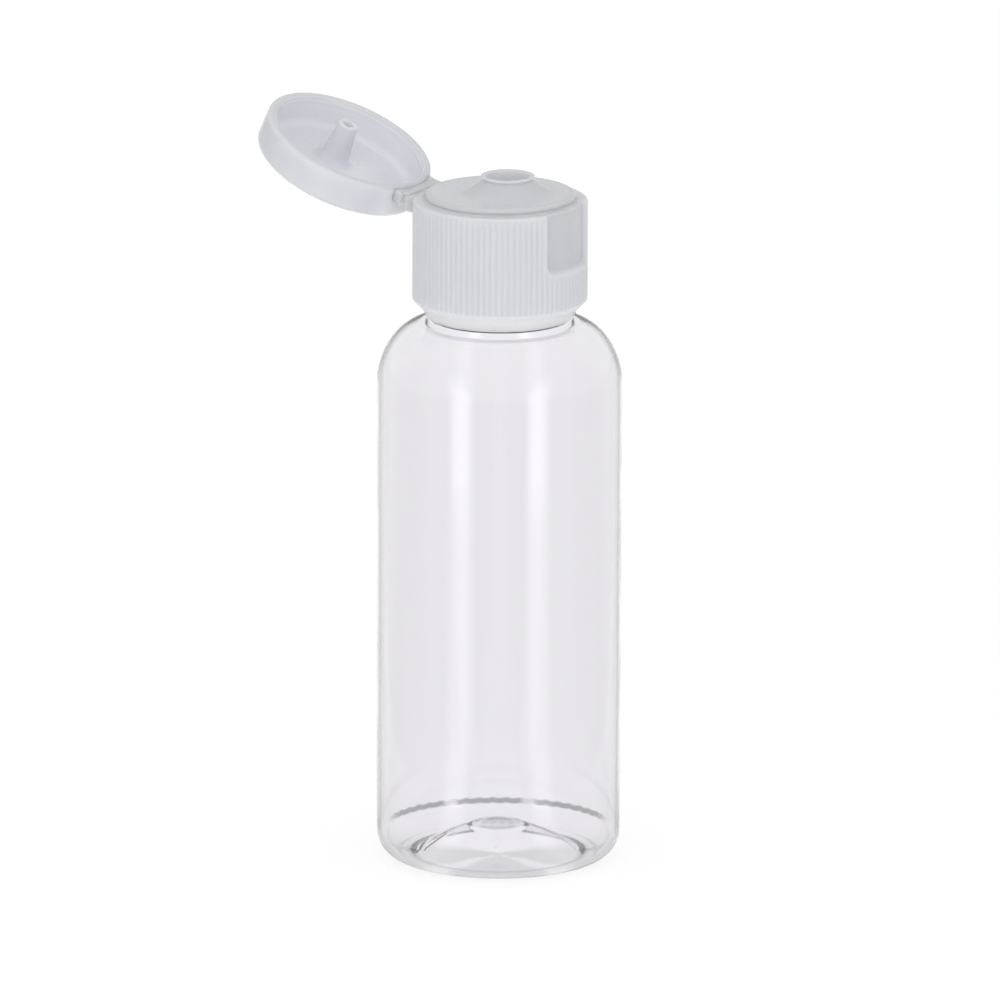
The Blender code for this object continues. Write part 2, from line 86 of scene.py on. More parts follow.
# bottle
WALL = 0.5
HEEL_TAPER = 0.13
HEEL_RADIUS = 3.92
FOOT_WIDTH = 0.8
FOOT_RADIUS = BODY_RADIUS - HEEL_TAPER - HEEL_RADIUS
PUSH_UP_RADIUS = FOOT_RADIUS - FOOT_WIDTH
PUSH_UP = 4.2
DOME_SLOPE = 0.85
DOME_POWER = 3
PUSH_UP_DISC = 3.8
DISC_STEP = 0.12
BASE_THICKNESS = 0.2
RIM_THICKNESS = 0.12
STRAIGHT_TOP = 68.5
SHOULDER_HEIGHT = 8.25
SHOULDER_POWER = 1.8
INNER_SHOULDER_POWER = 1.82
SHOULDER_TOP_RADIUS = 11.4
SHOULDER_WALL = 0.2
NECK_RADIUS = 8.75
NECK_WALL = 0.4
LIP_HEIGHT = 0.4
LIP_INSIDE = 1.0
BORE_RADIUS = 7.3
BEAD_RADIUS = 10.35
BEAD_TOP = SKIRT_BOTTOM - 0.5
BEAD_WALL = 0.15
THREAD_DEPTH = 1.05
THREAD_PITCH = 25.4 / 8
THREAD_TURNS = 1.5
THREAD_ROOT = 1.9
THREAD_CREST = 0.9
THREAD_RUN_OUT = 0.12
THREAD_TOP_SETBACK = 2.2
BAND_LEVEL = 3.36
BAND_HEIGHT = 0.88
# the band and its painted shade reach only round the side away from the camera; the two gaps, where it is
# fainter, are painted highlights
BAND_SPREAD = 76.0
BAND_HIGHLIGHT_GAPS = (-156.2, 165.0)
BAND_HIGHLIGHT_GAP_WEIGHT = 0.45
BAND_SCALLOP = 0.06
OUTER_FACE_DEPTH = 0.48
# painted shade: a grey line along the push-up's edge, on the near side only
RING_SHADE_WEIGHT = 0.6
GATE_WEIGHT = 0.1
KNURL_COUNT = 108
KNURL_DEPTH = 0.06
KNURL_CREST_SHARE = 0.1
BOSS_RADIUS = 4.5
BOSS_HEIGHT = 0.9
MARK_HEIGHT = 0.05
MARK_WIDTH = 0.34
DOT_RADIUS = 0.1
UNDERSIDE_ROWS = 50
BOTTLE_COLUMNS = 432

# closure skirt
SKIRT_BORE = 10.1
CHAMFER_HEIGHT = 2.06
CHAMFER_TOP = SKIRT_BOTTOM + CHAMFER_HEIGHT
CREASE_INSET = 1.15
CREASE_DROP = 1.0
SKIRT_FOOT_RADIUS = 10.5
SKIRT_FOOT_DROP = 0.18
RIB_COUNT = 90
RIB_DEPTH = 0.14
RIB_CREST_SHARE = 0.08
RIB_MARGIN = 0.6
RECESS_HALF_WIDTH = 5.4
RECESS_HEIGHT = 8.5
RECESS_DEPTH = 0.75
RECESS_CORNER = 1.4
RECESS_EDGE = 0.5
SKIRT_COLUMNS = 540

# deck and spout
DECK_EDGE = 0.6
LIP_RADIUS = 3.78
LIP_EDGE = 0.16
MOUTH_RADIUS = 3.11
SPOUT_NECK_RADIUS = 3.45
SPOUT_COLLAR = 0.5
FLARE_RADIUS = 6.5
FLARE_POWER = 1.3
FLARE_STEPS = 12
ORIFICE_RADIUS = 1.95
DECK_COLUMNS = 192

# lid
LID_RIM = SHOULDER_LEVEL + 0.1
LID_TOP = SPOUT_TOP + 1.68
LID_EDGE = 1.25
LID_WALL = 1.2
LID_BORE_RADIUS = CAP_RADIUS - LID_WALL
LID_CEILING = 1.0
CEILING_LEVEL = LID_TOP - LID_CEILING
SNAP_DEPTH = 0.15
PIN_RADIUS = 1.4
PIN_FOOT_RADIUS = 1.95
PIN_ROOT_RADIUS = 3.1
PIN_ROOT_HEIGHT = 1.6
PIN_ROOT_STEPS = 12
PIN_REACH = 2.0
PIN_HOLLOW_RADIUS = 0.75
PIN_HOLLOW_DEPTH = 1.5
LID_COLUMNS = 192

# living hinge
PAD_HALF_WIDTH = 4.8
PAD_COLUMNS = 24
BASE_PAD_DROP = 2.7
LID_PAD_RISE = 2.1
PAD_CORNER = 1.2
PAD_ROUND = 0.5
PAD_PARTING = 0.15
PAD_FRONT_GAP = 0.15
PAD_FRONT = HINGE_REACH - PAD_FRONT_GAP
PAD_BACK_RADIUS = CAP_RADIUS - 0.5
FILM_THICKNESS = 0.5
FILM_HALF_WIDTH = 4.4
FILM_OVERLAP = 0.45
FILM_STEPS = 12

# clear PET, with its patterns' sizes in millimetres
PET_COLOUR = "#FCFBFE"
PET_TINT = "#6E6E78"
# grey of the stipple, also used as painted shade on the heel band and the push-up's edge
STIPPLE_AND_SHADE_GREY = "#717478"
PET_IOR = 1.575
PET_ROUGHNESS = (0.015, 0.06)
STIPPLE_ROUGHNESS = 0.3
PET_DENSITY = 135.0
WAVE_SIZE = 9.0
WAVE_DEPTH = 0.02
SCUFF_SIZE = 0.5

# natural polypropylene, with its patterns' sizes in millimetres
PP_IOR = 1.49
PP_ROUGHNESS_SPREAD = 0.04
PP_SUBSURFACE = 0.8
PP_SCATTER_DEPTH = 2.5
CLOUD_SIZE = 4.0
GRAIN_SIZE = 0.25
GRAIN_DEPTH = 0.004

# strip lamps: degrees from the way to the camera, and the normal of the plane they lean in
STRIP_ANGLE = 36.5
STRIP_CORE = 3.5
STRIP_EDGE = 14.0
LAMP_PLANE = (0.770, 0.570, -0.287)

# strength of the room around the strip lamps, as the bottle mirrors it
ROOM_SHINE = 0.72

# soft square lamps on either side of the camera, in degrees, metres and watts
SOFTBOX_TURN = 12.0
SOFTBOX_ELEVATION = 25.0
SOFTBOX_DISTANCE = 1.2
SOFTBOX_SIZE = 0.9
SOFTBOX_POWER = 1.3

# floor
FLOOR_HALF = 3000.0
FLOOR_LEVEL = -0.02
FLOOR_GLOW = 0.8

# view of the photograph, fitted from the ellipses of the mouth, deck and heel
VIEW_AZIMUTH = 30.6
VIEW_ELEVATION = 14.05
VIEW_ROLL = 0.19
VIEW_DISTANCE = 5000.0
PIXELS_PER_MM = 7.15
FRAME_PIXELS = 1000
SENSOR_MM = 36.0
AXIS_PIXEL_X = 499.2
CENTRE_LEVEL = 51.19

# settings and sockets that several nodes share
SMOOTH = {"interpolation_type": "SMOOTHSTEP"}
COLOURS = {"data_type": "RGBA"}
COLOUR_A, COLOUR_B, MIXED_COLOUR = 6, 7, 2


def linear(hex_colour):
    """An sRGB hex colour as linear RGBA."""
    channels = [int(hex_colour[i:i + 2], 16) / 255 for i in (1, 3, 5)]
    return tuple(c / 12.92 if c <= 0.04045 else ((c + 0.055) / 1.055) ** 2.4 for c in channels) + (1.0,)


def add_node(tree, kind, settings=None, inputs=None):
    """Add a node, with its settings by name and its inputs as values or as sockets to link."""
    node = tree.nodes.new(kind)
    for name, value in (settings or {}).items():
        setattr(node, name, value)
    for socket, value in (inputs or {}).items():
        if isinstance(value, bpy.types.NodeSocket):
            tree.links.new(value, node.inputs[socket])
        else:
            node.inputs[socket].default_value = value
    return node


# outlines


def rounded(corners, steps=6):
    """Points of an outline whose corners, given as (radius, height, fillet), are rounded."""
    points = []
    for index, (r, z, fillet) in enumerate(corners):
        if fillet == 0 or index in (0, len(corners) - 1):
            points.append((r, z))
            continue
        here = Vector((r, z))
        to_last = Vector(corners[index - 1][:2]) - here
        to_next = Vector(corners[index + 1][:2]) - here
        half = to_last.angle(to_next) / 2
        reach = min(fillet / math.tan(half), 0.48 * to_last.length, 0.48 * to_next.length)
        start = here + to_last.normalized() * reach
        end = here + to_next.normalized() * reach
        for step in range(steps + 1):
            t = step / steps
            points.append(tuple(start * (1 - t) ** 2 + here * (2 * t * (1 - t)) + end * t ** 2))
    return points


def arc(centre_r, centre_z, radius, start_deg, end_deg, steps):
    """Points of an arc in the (radius, height) plane, both ends included."""
    angles = [math.radians(start_deg + (end_deg - start_deg) * i / steps) for i in range(steps + 1)]
    return [(centre_r + radius * math.cos(a), centre_z + radius * math.sin(a)) for a in angles]


def line(start, end, steps):
    """Points between two outline points, with neither end."""
    return [tuple(s + (e - s) * i / steps for s, e in zip(start, end)) for i in range(1, steps)]


def add_piece(name, verts, faces, material):
    """A piece with these points, in millimetres, and faces."""
    mesh = bpy.data.meshes.new(name)
    mesh.from_pydata([(x * MM, y * MM, z * MM) for x, y, z in verts], [], faces)
    mesh.materials.append(material)
    item = bpy.data.objects.new(name, mesh)
    bpy.context.scene.collection.objects.link(item)
    return item


def bar(name, sections, material):
    """A piece through cross-sections of four points each, with both its ends closed."""
    last = len(sections) - 1
    verts = [point for section in sections for point in section]
    faces = []
    for step in range(last):
        for side in range(4):
            a, b = step * 4 + side, step * 4 + (side + 1) % 4
            faces.append((a, a + 4, b + 4, b))
    faces.append((0, 1, 2, 3))
    faces.append(tuple(last * 4 + side for side in (3, 2, 1, 0)))
    return add_piece(name, verts, faces, material)


def keep_result(item):
    """Keep what a piece's modifiers make of it as its plain mesh."""
    bpy.context.view_layer.update()
    evaluated = item.evaluated_get(bpy.context.evaluated_depsgraph_get())
    mesh = bpy.data.meshes.new_from_object(evaluated)
    item.modifiers.clear()
    before = item.data
    item.data = mesh
    bpy.data.meshes.remove(before)
    mesh.name = item.name
    mesh.shade_smooth()


def turned(name, outline, columns, material, shape=None):
    """A closed outline of (radius, height[, shift in x]) turned about the bottle's axis.

    shape, if given, takes the arrays of radius, height and angle and returns the first two
    with the details that aren't round. Faces point outwards whichever way the outline runs.
    """
    points = np.array([tuple(p) + (0.0,) * (3 - len(p)) for p in outline], float)
    angle = np.arange(columns) * math.tau / columns
    radius, turn = np.meshgrid(points[:, 0], angle, indexing="ij")
    height = np.repeat(points[:, 1:2], columns, axis=1)
    pole = points[:, 0] < 1e-6
    if shape:
        radius, height = shape(radius, height, turn)
    x = AXIS_X + points[:, 2:3] + radius * np.cos(turn)
    y = radius * np.sin(turn)
    verts, first = [], []
    for row in range(len(points)):
        first.append(len(verts))
        count = 1 if pole[row] else columns
        verts += [(x[row, c], y[row, c], height[row, c]) for c in range(count)]
    area = sum(a[0] * b[1] - b[0] * a[1] for a, b in zip(points, np.roll(points, -1, axis=0)))
    faces = []
    for row in range(len(points)):
        after = (row + 1) % len(points)
        if pole[row] and pole[after]:
            continue
        for c in range(columns):
            d = (c + 1) % columns
            corners = [first[row] + (0 if pole[row] else c), first[after] + (0 if pole[after] else c),
                       first[after] + (0 if pole[after] else d), first[row] + (0 if pole[row] else d)]
            corners = list(dict.fromkeys(corners))
            faces.append(corners[::-1] if area > 0 else corners)
    item = add_piece(name, verts, faces, material)
    item.data.shade_smooth()
    return item


def smooth_step(value, low, high):
    """0 below low, 1 above high and a smooth rise between, for arrays."""
    t = np.clip((value - low) / (high - low), 0.0, 1.0)
    return t * t * (3 - 2 * t)


def about_axis(places):
    """Places as x, y and z from the bottle's axis, and how far they lie from it."""
    x, y, z = places[:, 0] - AXIS_X, places[:, 1], places[:, 2]
    return x, y, z, np.hypot(x, y)


def thread_wave(height, turn, top):
    """0 to 1: how far a point on a cylinder is up a single-start thread that ends at top."""
    start = top - THREAD_TURNS * THREAD_PITCH
    climb = (height - start) / THREAD_PITCH - turn / math.tau
    whole = np.round(climb)
    along = turn / math.tau + whole
    off = np.abs(climb - whole) * THREAD_PITCH
    flank = 1 - np.clip((off - THREAD_CREST / 2) / ((THREAD_ROOT - THREAD_CREST) / 2), 0.0, 1.0)
    run_in = smooth_step(along, 0.0, THREAD_RUN_OUT)
    return flank * run_in * (1 - smooth_step(along, THREAD_TURNS - THREAD_RUN_OUT, THREAD_TURNS))


# geometry nodes


def radial_ribs_tree():
    """A node group that presses grooves into a turned mesh, round its axis, by a point weight."""
    tree = bpy.data.node_groups.new("radial ribs", "GeometryNodeTree")
    tree.interface.new_socket("Geometry", in_out="OUTPUT", socket_type="NodeSocketGeometry")
    for label, kind in (("Geometry", "NodeSocketGeometry"), ("Rib count", "NodeSocketFloat"),
                        ("Groove depth", "NodeSocketFloat"), ("Crest share", "NodeSocketFloat"),
                        ("Axis", "NodeSocketVector"), ("Finish", "NodeSocketMaterial")):
        tree.interface.new_socket(label, in_out="INPUT", socket_type=kind)
    given = add_node(tree, "NodeGroupInput").outputs
    position = add_node(tree, "GeometryNodeInputPosition").outputs[0]
    offset = add_node(tree, "ShaderNodeVectorMath", {"operation": "SUBTRACT"},
                      {0: position, 1: given["Axis"]}).outputs[0]
    flat = add_node(tree, "ShaderNodeVectorMath", {"operation": "MULTIPLY"},
                    {0: offset, 1: (1.0, 1.0, 0.0)}).outputs[0]
    outward = add_node(tree, "ShaderNodeVectorMath", {"operation": "NORMALIZE"}, {0: flat}).outputs[0]
    parts = add_node(tree, "ShaderNodeSeparateXYZ", None, {0: outward}).outputs
    turn = add_node(tree, "ShaderNodeMath", {"operation": "ARCTAN2"},
                    {0: parts[1], 1: parts[0]}).outputs[0]
    share = add_node(tree, "ShaderNodeMath", {"operation": "DIVIDE"}, {0: turn, 1: math.tau}).outputs[0]
    count = add_node(tree, "ShaderNodeMath", {"operation": "MULTIPLY"},
                     {0: share, 1: given["Rib count"]}).outputs[0]
    wave = add_node(tree, "ShaderNodeMath", {"operation": "PINGPONG"}, {0: count, 1: 0.5}).outputs[0]
    groove = add_node(tree, "ShaderNodeMapRange", SMOOTH,
                      {"Value": wave, "From Min": given["Crest share"], "From Max": 0.5}).outputs[0]
    weight = add_node(tree, "GeometryNodeInputNamedAttribute", {"data_type": "FLOAT"},
                      {"Name": "groove"}).outputs[0]
    share_of_depth = add_node(tree, "ShaderNodeMath", {"operation": "MULTIPLY"},
                              {0: groove, 1: weight}).outputs[0]
    depth = add_node(tree, "ShaderNodeMath", {"operation": "MULTIPLY"},
                     {0: share_of_depth, 1: given["Groove depth"]}).outputs[0]
    inward = add_node(tree, "ShaderNodeMath", {"operation": "MULTIPLY"}, {0: depth, 1: -1.0}).outputs[0]
    move = add_node(tree, "ShaderNodeVectorMath", {"operation": "SCALE"},
                    {0: outward, "Scale": inward}).outputs[0]
    placed = add_node(tree, "GeometryNodeSetPosition", None,
                      {"Geometry": given["Geometry"], "Offset": move}).outputs[0]
    real = add_node(tree, "GeometryNodeRealizeInstances", None, {0: placed}).outputs[0]
    finished = add_node(tree, "GeometryNodeSetMaterial", None,
                        {"Geometry": real, "Material": given["Finish"]}).outputs[0]
    add_node(tree, "NodeGroupOutput", None, {0: finished})
    return tree


def press_ribs(item, tree, count, depth, crest_share, material, weight):
    """Run the rib group on a turned piece and keep the result as its plain mesh."""
    store(item, "groove", weight)
    modifier = item.modifiers.new("ribs", "NODES")
    modifier.node_group = tree
    values = {"Rib count": float(count), "Groove depth": depth * MM, "Crest share": crest_share,
              "Axis": (AXIS_X * MM, 0.0, 0.0), "Finish": material}
    for socket in tree.interface.items_tree:
        if socket.in_out == "INPUT" and socket.name in values:
            modifier[socket.identifier] = values[socket.name]
    keep_result(item)
    item.data.attributes.remove(item.data.attributes["groove"])


# materials


def blown_pet():
    """Clear PET, stretch-blown: glass-bright and faintly grey where one looks along its wall.

    Shallow waves some 9 mm long are left by the stretching, and fine handling scuffs
    0.5 mm apart dull the gloss a little. A per-point attribute frosts the band that the
    mould's base insert leaves at the heel and greys it there as painted shade, round the
    side away from the camera. It paints a grey line of shade along the near side of the
    push-up's edge, and it greys the gate mark a little.
    """
    material = bpy.data.materials.new("clear PET, stretch-blown")
    material.use_nodes = True
    tree = material.node_tree
    shader = tree.nodes["Principled BSDF"]
    place = add_node(tree, "ShaderNodeTexCoord").outputs["Object"]
    waves = add_node(tree, "ShaderNodeTexNoise", None,
                     {"Vector": place, "Scale": 1 / (WAVE_SIZE * MM), "Detail": 1.0}).outputs["Fac"]
    scuffs = add_node(tree, "ShaderNodeTexNoise", None,
                      {"Vector": place, "Scale": 1 / (SCUFF_SIZE * MM), "Detail": 3.0}).outputs["Fac"]
    rough = add_node(tree, "ShaderNodeMapRange", None,
                     {"Value": scuffs, "From Min": 0.35, "From Max": 0.75, "To Min": PET_ROUGHNESS[0],
                      "To Max": PET_ROUGHNESS[1]}).outputs[0]
    bump = add_node(tree, "ShaderNodeBump", None,
                    {"Height": waves, "Strength": 1.0, "Distance": WAVE_DEPTH * MM}).outputs[0]
    # painted shade: this weight greys the heel band and the push-up's edge, as well as the gate mark
    stipple_and_painted_shade = add_node(tree, "ShaderNodeAttribute", {"attribute_name": "stipple_and_painted_shade"}).outputs["Fac"]
    colour = add_node(tree, "ShaderNodeMix", COLOURS,
                      {"Factor": stipple_and_painted_shade, COLOUR_A: linear(PET_COLOUR),
                       COLOUR_B: linear(STIPPLE_AND_SHADE_GREY)}).outputs[MIXED_COLOUR]
    frosted = add_node(tree, "ShaderNodeMapRange", None,
                       {"Value": stipple_and_painted_shade, "To Min": rough, "To Max": STIPPLE_ROUGHNESS}).outputs[0]
    shader.inputs["Transmission Weight"].default_value = 1.0
    shader.inputs["IOR"].default_value = PET_IOR
    tree.links.new(colour, shader.inputs["Base Color"])
    tree.links.new(frosted, shader.inputs["Roughness"])
    tree.links.new(bump, shader.inputs["Normal"])
    grey = add_node(tree, "ShaderNodeVolumeAbsorption", None,
                    {"Color": linear(PET_TINT), "Density": PET_DENSITY}).outputs[0]
    tree.links.new(grey, tree.nodes["Material Output"].inputs["Volume"])
    return material


def moulded_polypropylene(name, pale, shade, roughness):
    """Natural polypropylene, injection-moulded: milky and satin, with light inside its walls.

    The colour clouds over some 4 mm, and the mould's spark-eroded skin has a 0.25 mm grain. A per-point
    attribute scales the colour as painted light and shade, paler or greyer where parts are painted lit or
    shaded.
    """
    material = bpy.data.materials.new(name)
    material.use_nodes = True
    tree = material.node_tree
    shader = tree.nodes["Principled BSDF"]
    place = add_node(tree, "ShaderNodeTexCoord").outputs["Object"]
    clouds = add_node(tree, "ShaderNodeTexNoise", None,
                      {"Vector": place, "Scale": 1 / (CLOUD_SIZE * MM), "Detail": 2.0}).outputs["Fac"]
    colour = add_node(tree, "ShaderNodeMix", COLOURS,
                      {"Factor": clouds, COLOUR_A: linear(pale),
                       COLOUR_B: linear(shade)}).outputs[MIXED_COLOUR]
    grain = add_node(tree, "ShaderNodeTexNoise", None,
                     {"Vector": place, "Scale": 1 / (GRAIN_SIZE * MM), "Detail": 2.0}).outputs["Fac"]
    rough = add_node(tree, "ShaderNodeMapRange", None,
                     {"Value": grain, "From Min": 0.3, "From Max": 0.7,
                      "To Min": roughness - PP_ROUGHNESS_SPREAD,
                      "To Max": roughness + PP_ROUGHNESS_SPREAD}).outputs[0]
    bump = add_node(tree, "ShaderNodeBump", None,
                    {"Height": grain, "Strength": 1.0, "Distance": GRAIN_DEPTH * MM}).outputs[0]
    # painted light and shade: a per-point attribute scales the colour, paler where light is painted and
    # greyer where shade is painted
    painted_light_and_shade = add_node(tree, "ShaderNodeAttribute", {"attribute_name": "painted_light_and_shade"}).outputs["Fac"]
    share = add_node(tree, "ShaderNodeMath", {"operation": "ADD"}, {0: painted_light_and_shade, 1: 1.0}).outputs[0]
    lit_and_shaded_colour = add_node(tree, "ShaderNodeVectorMath", {"operation": "SCALE"},
                     {0: colour, "Scale": share}).outputs[0]
    shader.inputs["IOR"].default_value = PP_IOR
    shader.inputs["Subsurface Weight"].default_value = PP_SUBSURFACE
    shader.inputs["Subsurface Radius"].default_value = (1.0, 1.0, 1.0)
    shader.inputs["Subsurface Scale"].default_value = PP_SCATTER_DEPTH * MM
    tree.links.new(lit_and_shaded_colour, shader.inputs["Base Color"])
    tree.links.new(rough, shader.inputs["Roughness"])
    tree.links.new(bump, shader.inputs["Normal"])
    return material


def store(item, name, field):
    """Keep a number for every point of a piece, worked out from its place in millimetres."""
    places = np.array([v.co for v in item.data.vertices]) / MM
    attribute = item.data.attributes.new(name, "FLOAT", "POINT")
    attribute.data.foreach_set("value", field(places).astype(np.float32))


# bottle


def superellipse(outer_radius, top_radius, bottom, height, steps, power):
    """Points of the round shoulder, from the straight wall up to the neck."""
    points = []
    for step in range(steps + 1):
        a = math.radians(90.0 * step / steps)
        across = max(math.cos(a), 0.0) ** (2 / power)
        points.append((outer_radius - (outer_radius - top_radius) * (1 - across),
                       bottom + height * math.sin(a) ** (2 / power)))
    return points


def push_up(lift, reach, steps):
    """Points of the base from its disc out to this radius: nearly a straight cone."""
    points = []
    for step in range(steps + 1):
        t = (step / steps) ** 0.8
        fall = DOME_SLOPE * t + (1 - DOME_SLOPE) * t ** DOME_POWER
        points.append((PUSH_UP_DISC + (reach - PUSH_UP_DISC) * t, PUSH_UP * (1 - fall) + lift))
    return points


def boss_share(r):
    """Height share of the round boss in the middle of the floor, where the preform's gate was."""
    return 0.5 + 0.5 * math.cos(math.pi * min(r / BOSS_RADIUS, 1.0))


def bottle_outline():
    """The bottle's wall: underside, outside, neck, bore and inside, as one closed outline."""
    disc = PUSH_UP_DISC - DISC_STEP
    disc_level = PUSH_UP + DISC_STEP
    under = [(0.0, disc_level)] + line((0.0, disc_level), (disc, disc_level), 4)
    under += rounded([(disc - 0.3, disc_level, 0), (disc, disc_level, 0.15),
                      (PUSH_UP_DISC, PUSH_UP, 0)], 3)[1:-1]
    under += push_up(0.0, PUSH_UP_RADIUS, 34)
    under = [(r, z + BOSS_HEIGHT * boss_share(r)) for r, z in under]
    heel = arc(FOOT_RADIUS, HEEL_RADIUS, HEEL_RADIUS, -90.0, -18.0, 12)
    heel += arc(FOOT_RADIUS, HEEL_RADIUS, HEEL_RADIUS, -18.0, 0.0, 8)[1:]
    band_top = (BODY_RADIUS - HEEL_TAPER * 0.9, BAND_LEVEL + BAND_HEIGHT)
    wall = line(heel[-1], band_top, 4) + [band_top] + line(band_top, (BODY_RADIUS, STRAIGHT_TOP), 4)
    shoulder = superellipse(BODY_RADIUS, SHOULDER_TOP_RADIUS, STRAIGHT_TOP, SHOULDER_HEIGHT, 18,
                            SHOULDER_POWER)
    shoulder_top = STRAIGHT_TOP + SHOULDER_HEIGHT
    neck = rounded([(SHOULDER_TOP_RADIUS, shoulder_top, 0), (BEAD_RADIUS + 0.05, shoulder_top + 0.05, 0.12),
                    (BEAD_RADIUS, BEAD_TOP, 0.25), (NECK_RADIUS, BEAD_TOP, 0.25),
                    (NECK_RADIUS, BEAD_TOP + 1.0, 0)], 3)[1:]
    neck += line(neck[-1], (NECK_RADIUS, MOUTH_LEVEL - LIP_HEIGHT), 30)
    neck += rounded([(NECK_RADIUS, MOUTH_LEVEL - LIP_HEIGHT, 0), (NECK_RADIUS, MOUTH_LEVEL, 0.3),
                     (BORE_RADIUS, MOUTH_LEVEL, 0.2), (BORE_RADIUS, MOUTH_LEVEL - LIP_INSIDE, 0)], 2)
    inner_top = SHOULDER_TOP_RADIUS - SHOULDER_WALL
    inner_level = shoulder_top - SHOULDER_WALL
    throat_radius = NECK_RADIUS - NECK_WALL
    bead_hollow = BEAD_RADIUS - BEAD_WALL
    bead_roof = BEAD_TOP - BEAD_WALL
    throat = rounded([(BORE_RADIUS, MOUTH_LEVEL - LIP_INSIDE, 0), (BORE_RADIUS, BEAD_TOP + 2.0, 0.5),
                      (throat_radius, BEAD_TOP + 0.8, 0.5), (throat_radius, bead_roof, 0.1),
                      (bead_hollow, bead_roof, 0.12), (bead_hollow, inner_level + 0.03, 0.2),
                      (inner_top, inner_level, 0)], 3)[1:-1]
    inner_shoulder = superellipse(BODY_RADIUS - WALL, inner_top, STRAIGHT_TOP,
                                  SHOULDER_HEIGHT - SHOULDER_WALL, 16, INNER_SHOULDER_POWER)
    inner_heel = arc(FOOT_RADIUS, HEEL_RADIUS, HEEL_RADIUS - WALL, 0.0, -90.0, 12)
    inner_wall = line(inner_shoulder[0], inner_heel[0], 4)
    floor = push_up(BASE_THICKNESS, PUSH_UP_RADIUS + RIM_THICKNESS, 26)[::-1]
    floor = [(r, z) for r, z in floor if z > WALL + 0.1]
    floor += [(PUSH_UP_DISC * step / 6, PUSH_UP + BASE_THICKNESS) for step in range(5, -1, -1)]
    floor = [(r, z + BOSS_HEIGHT * boss_share(r)) for r, z in floor]
    return (under + heel + wall + shoulder + neck + throat + inner_shoulder[::-1] + inner_wall
            + inner_heel + floor)


def in_view(x, y):
    """Places about the axis as right and near in the photograph. The same turn also leads back."""
    a = math.radians(VIEW_AZIMUTH)
    return x * math.cos(a) + y * math.sin(a), x * math.sin(a) - y * math.cos(a)


def stroke_distance(x, y, start, end):
    """Distance of points from a straight stroke."""
    ax, ay = start
    bx, by = end
    length = (bx - ax) ** 2 + (by - ay) ** 2
    t = np.clip(((x - ax) * (bx - ax) + (y - ay) * (by - ay)) / length, 0.0, 1.0)
    return np.hypot(x - ax - t * (bx - ax), y - ay - t * (by - ay))


# plain tooling marks under the base, as strokes in (right, near) millimetres
BASE_STROKES = (
    ((-11.0, 2.6), (-9.6, -2.6)), ((-9.6, -2.6), (-7.2, -3.4)), ((-7.2, -3.4), (-7.0, 0.2)),
    ((-7.0, 0.2), (-10.4, 2.8)), ((-0.3, 7.4), (-0.3, 9.8)),
)
BASE_DOTS = ((-1.8, -5.6), (-0.6, -5.9), (0.6, -5.9), (1.8, -5.6))


def bottle_details(radius, height, turn):
    """The neck's thread and the tooling marks, added to the plain turned wall."""
    rows = np.arange(radius.shape[0])[:, None] * np.ones_like(radius)
    crest_row = int(np.argmax(height[:, 0]))
    outside = rows < crest_row
    on_neck = outside & (height > BEAD_TOP + 1.2) & (np.abs(radius - NECK_RADIUS) < 0.01)
    thread = thread_wave(height, turn, MOUTH_LEVEL - THREAD_TOP_SETBACK)
    radius = np.where(on_neck, radius + THREAD_DEPTH * thread, radius)
    under = (rows < UNDERSIDE_ROWS) & (height < PUSH_UP) & (height > 0.2) & (radius < PUSH_UP_RADIUS)
    x, y = radius * np.cos(turn), radius * np.sin(turn)
    nearest = np.full(radius.shape, np.inf)
    for start, end in BASE_STROKES:
        nearest = np.minimum(nearest, stroke_distance(x, y, in_view(*start), in_view(*end)))
    for dot in BASE_DOTS:
        px, py = in_view(*dot)
        nearest = np.minimum(nearest, np.hypot(x - px, y - py) - DOT_RADIUS)
    raised = 1 - smooth_step(nearest, MARK_WIDTH / 2, MARK_WIDTH)
    height = np.where(under, height + MARK_HEIGHT * raised, height)
    return radius, height


def heel_band_and_shade(points):
    """Weight of the knurled band at the heel and of its painted shade: round the side away from the camera,
    fainter at two gaps that are painted highlights.
    """
    x, y, z, reach = about_axis(points)
    round_back = np.degrees(np.arctan2(*in_view(x, y)))
    weight = smooth_step(np.abs(round_back), 180 - BAND_SPREAD, 200 - BAND_SPREAD)
    for gap in BAND_HIGHLIGHT_GAPS:
        clear_of_gap = smooth_step(np.abs(round_back - gap), 1.5, 5.0)
        weight = weight * (BAND_HIGHLIGHT_GAP_WEIGHT + (1 - BAND_HIGHLIGHT_GAP_WEIGHT) * clear_of_gap)
    scallop = BAND_SCALLOP * np.cos(np.arctan2(y, x) * KNURL_COUNT / 2)
    off_band = np.abs(z + scallop - BAND_LEVEL) / (BAND_HEIGHT / 2)
    return weight * (1 - smooth_step(off_band, 0.75, 1.1)) * (reach > BODY_RADIUS - OUTER_FACE_DEPTH)


def marks_and_painted_shade(points):
    """Weight of the frost and grey: painted shade on the band at the heel, a painted line of shade where the
    push-up starts on the near side, and the gate mark.
    """
    x, y, z, reach = about_axis(points)
    near = in_view(x, y)[1]
    on_ring = (1 - smooth_step(np.abs(reach - PUSH_UP_RADIUS), 0.1, 0.4)) * (z < 0.5)
    gate = (1 - smooth_step(reach, 2.0, 3.6)) * (z < HEEL_RADIUS * 2)
    ring = on_ring * smooth_step(near, -7.0, 1.0)
    return heel_band_and_shade(points) + RING_SHADE_WEIGHT * ring + GATE_WEIGHT * gate


def make_bottle(tree, pet):
    """The blown bottle. It casts no shadow, because thin clear walls let the light through."""
    bottle = turned("pet_bottle", bottle_outline(), BOTTLE_COLUMNS, pet, bottle_details)
    store(bottle, "stipple_and_painted_shade", marks_and_painted_shade)
    press_ribs(bottle, tree, KNURL_COUNT, KNURL_DEPTH, KNURL_CREST_SHARE, pet, heel_band_and_shade)
    bottle.visible_shadow = False
    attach(bottle, "bottle_body")
    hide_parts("bottle")


# closure


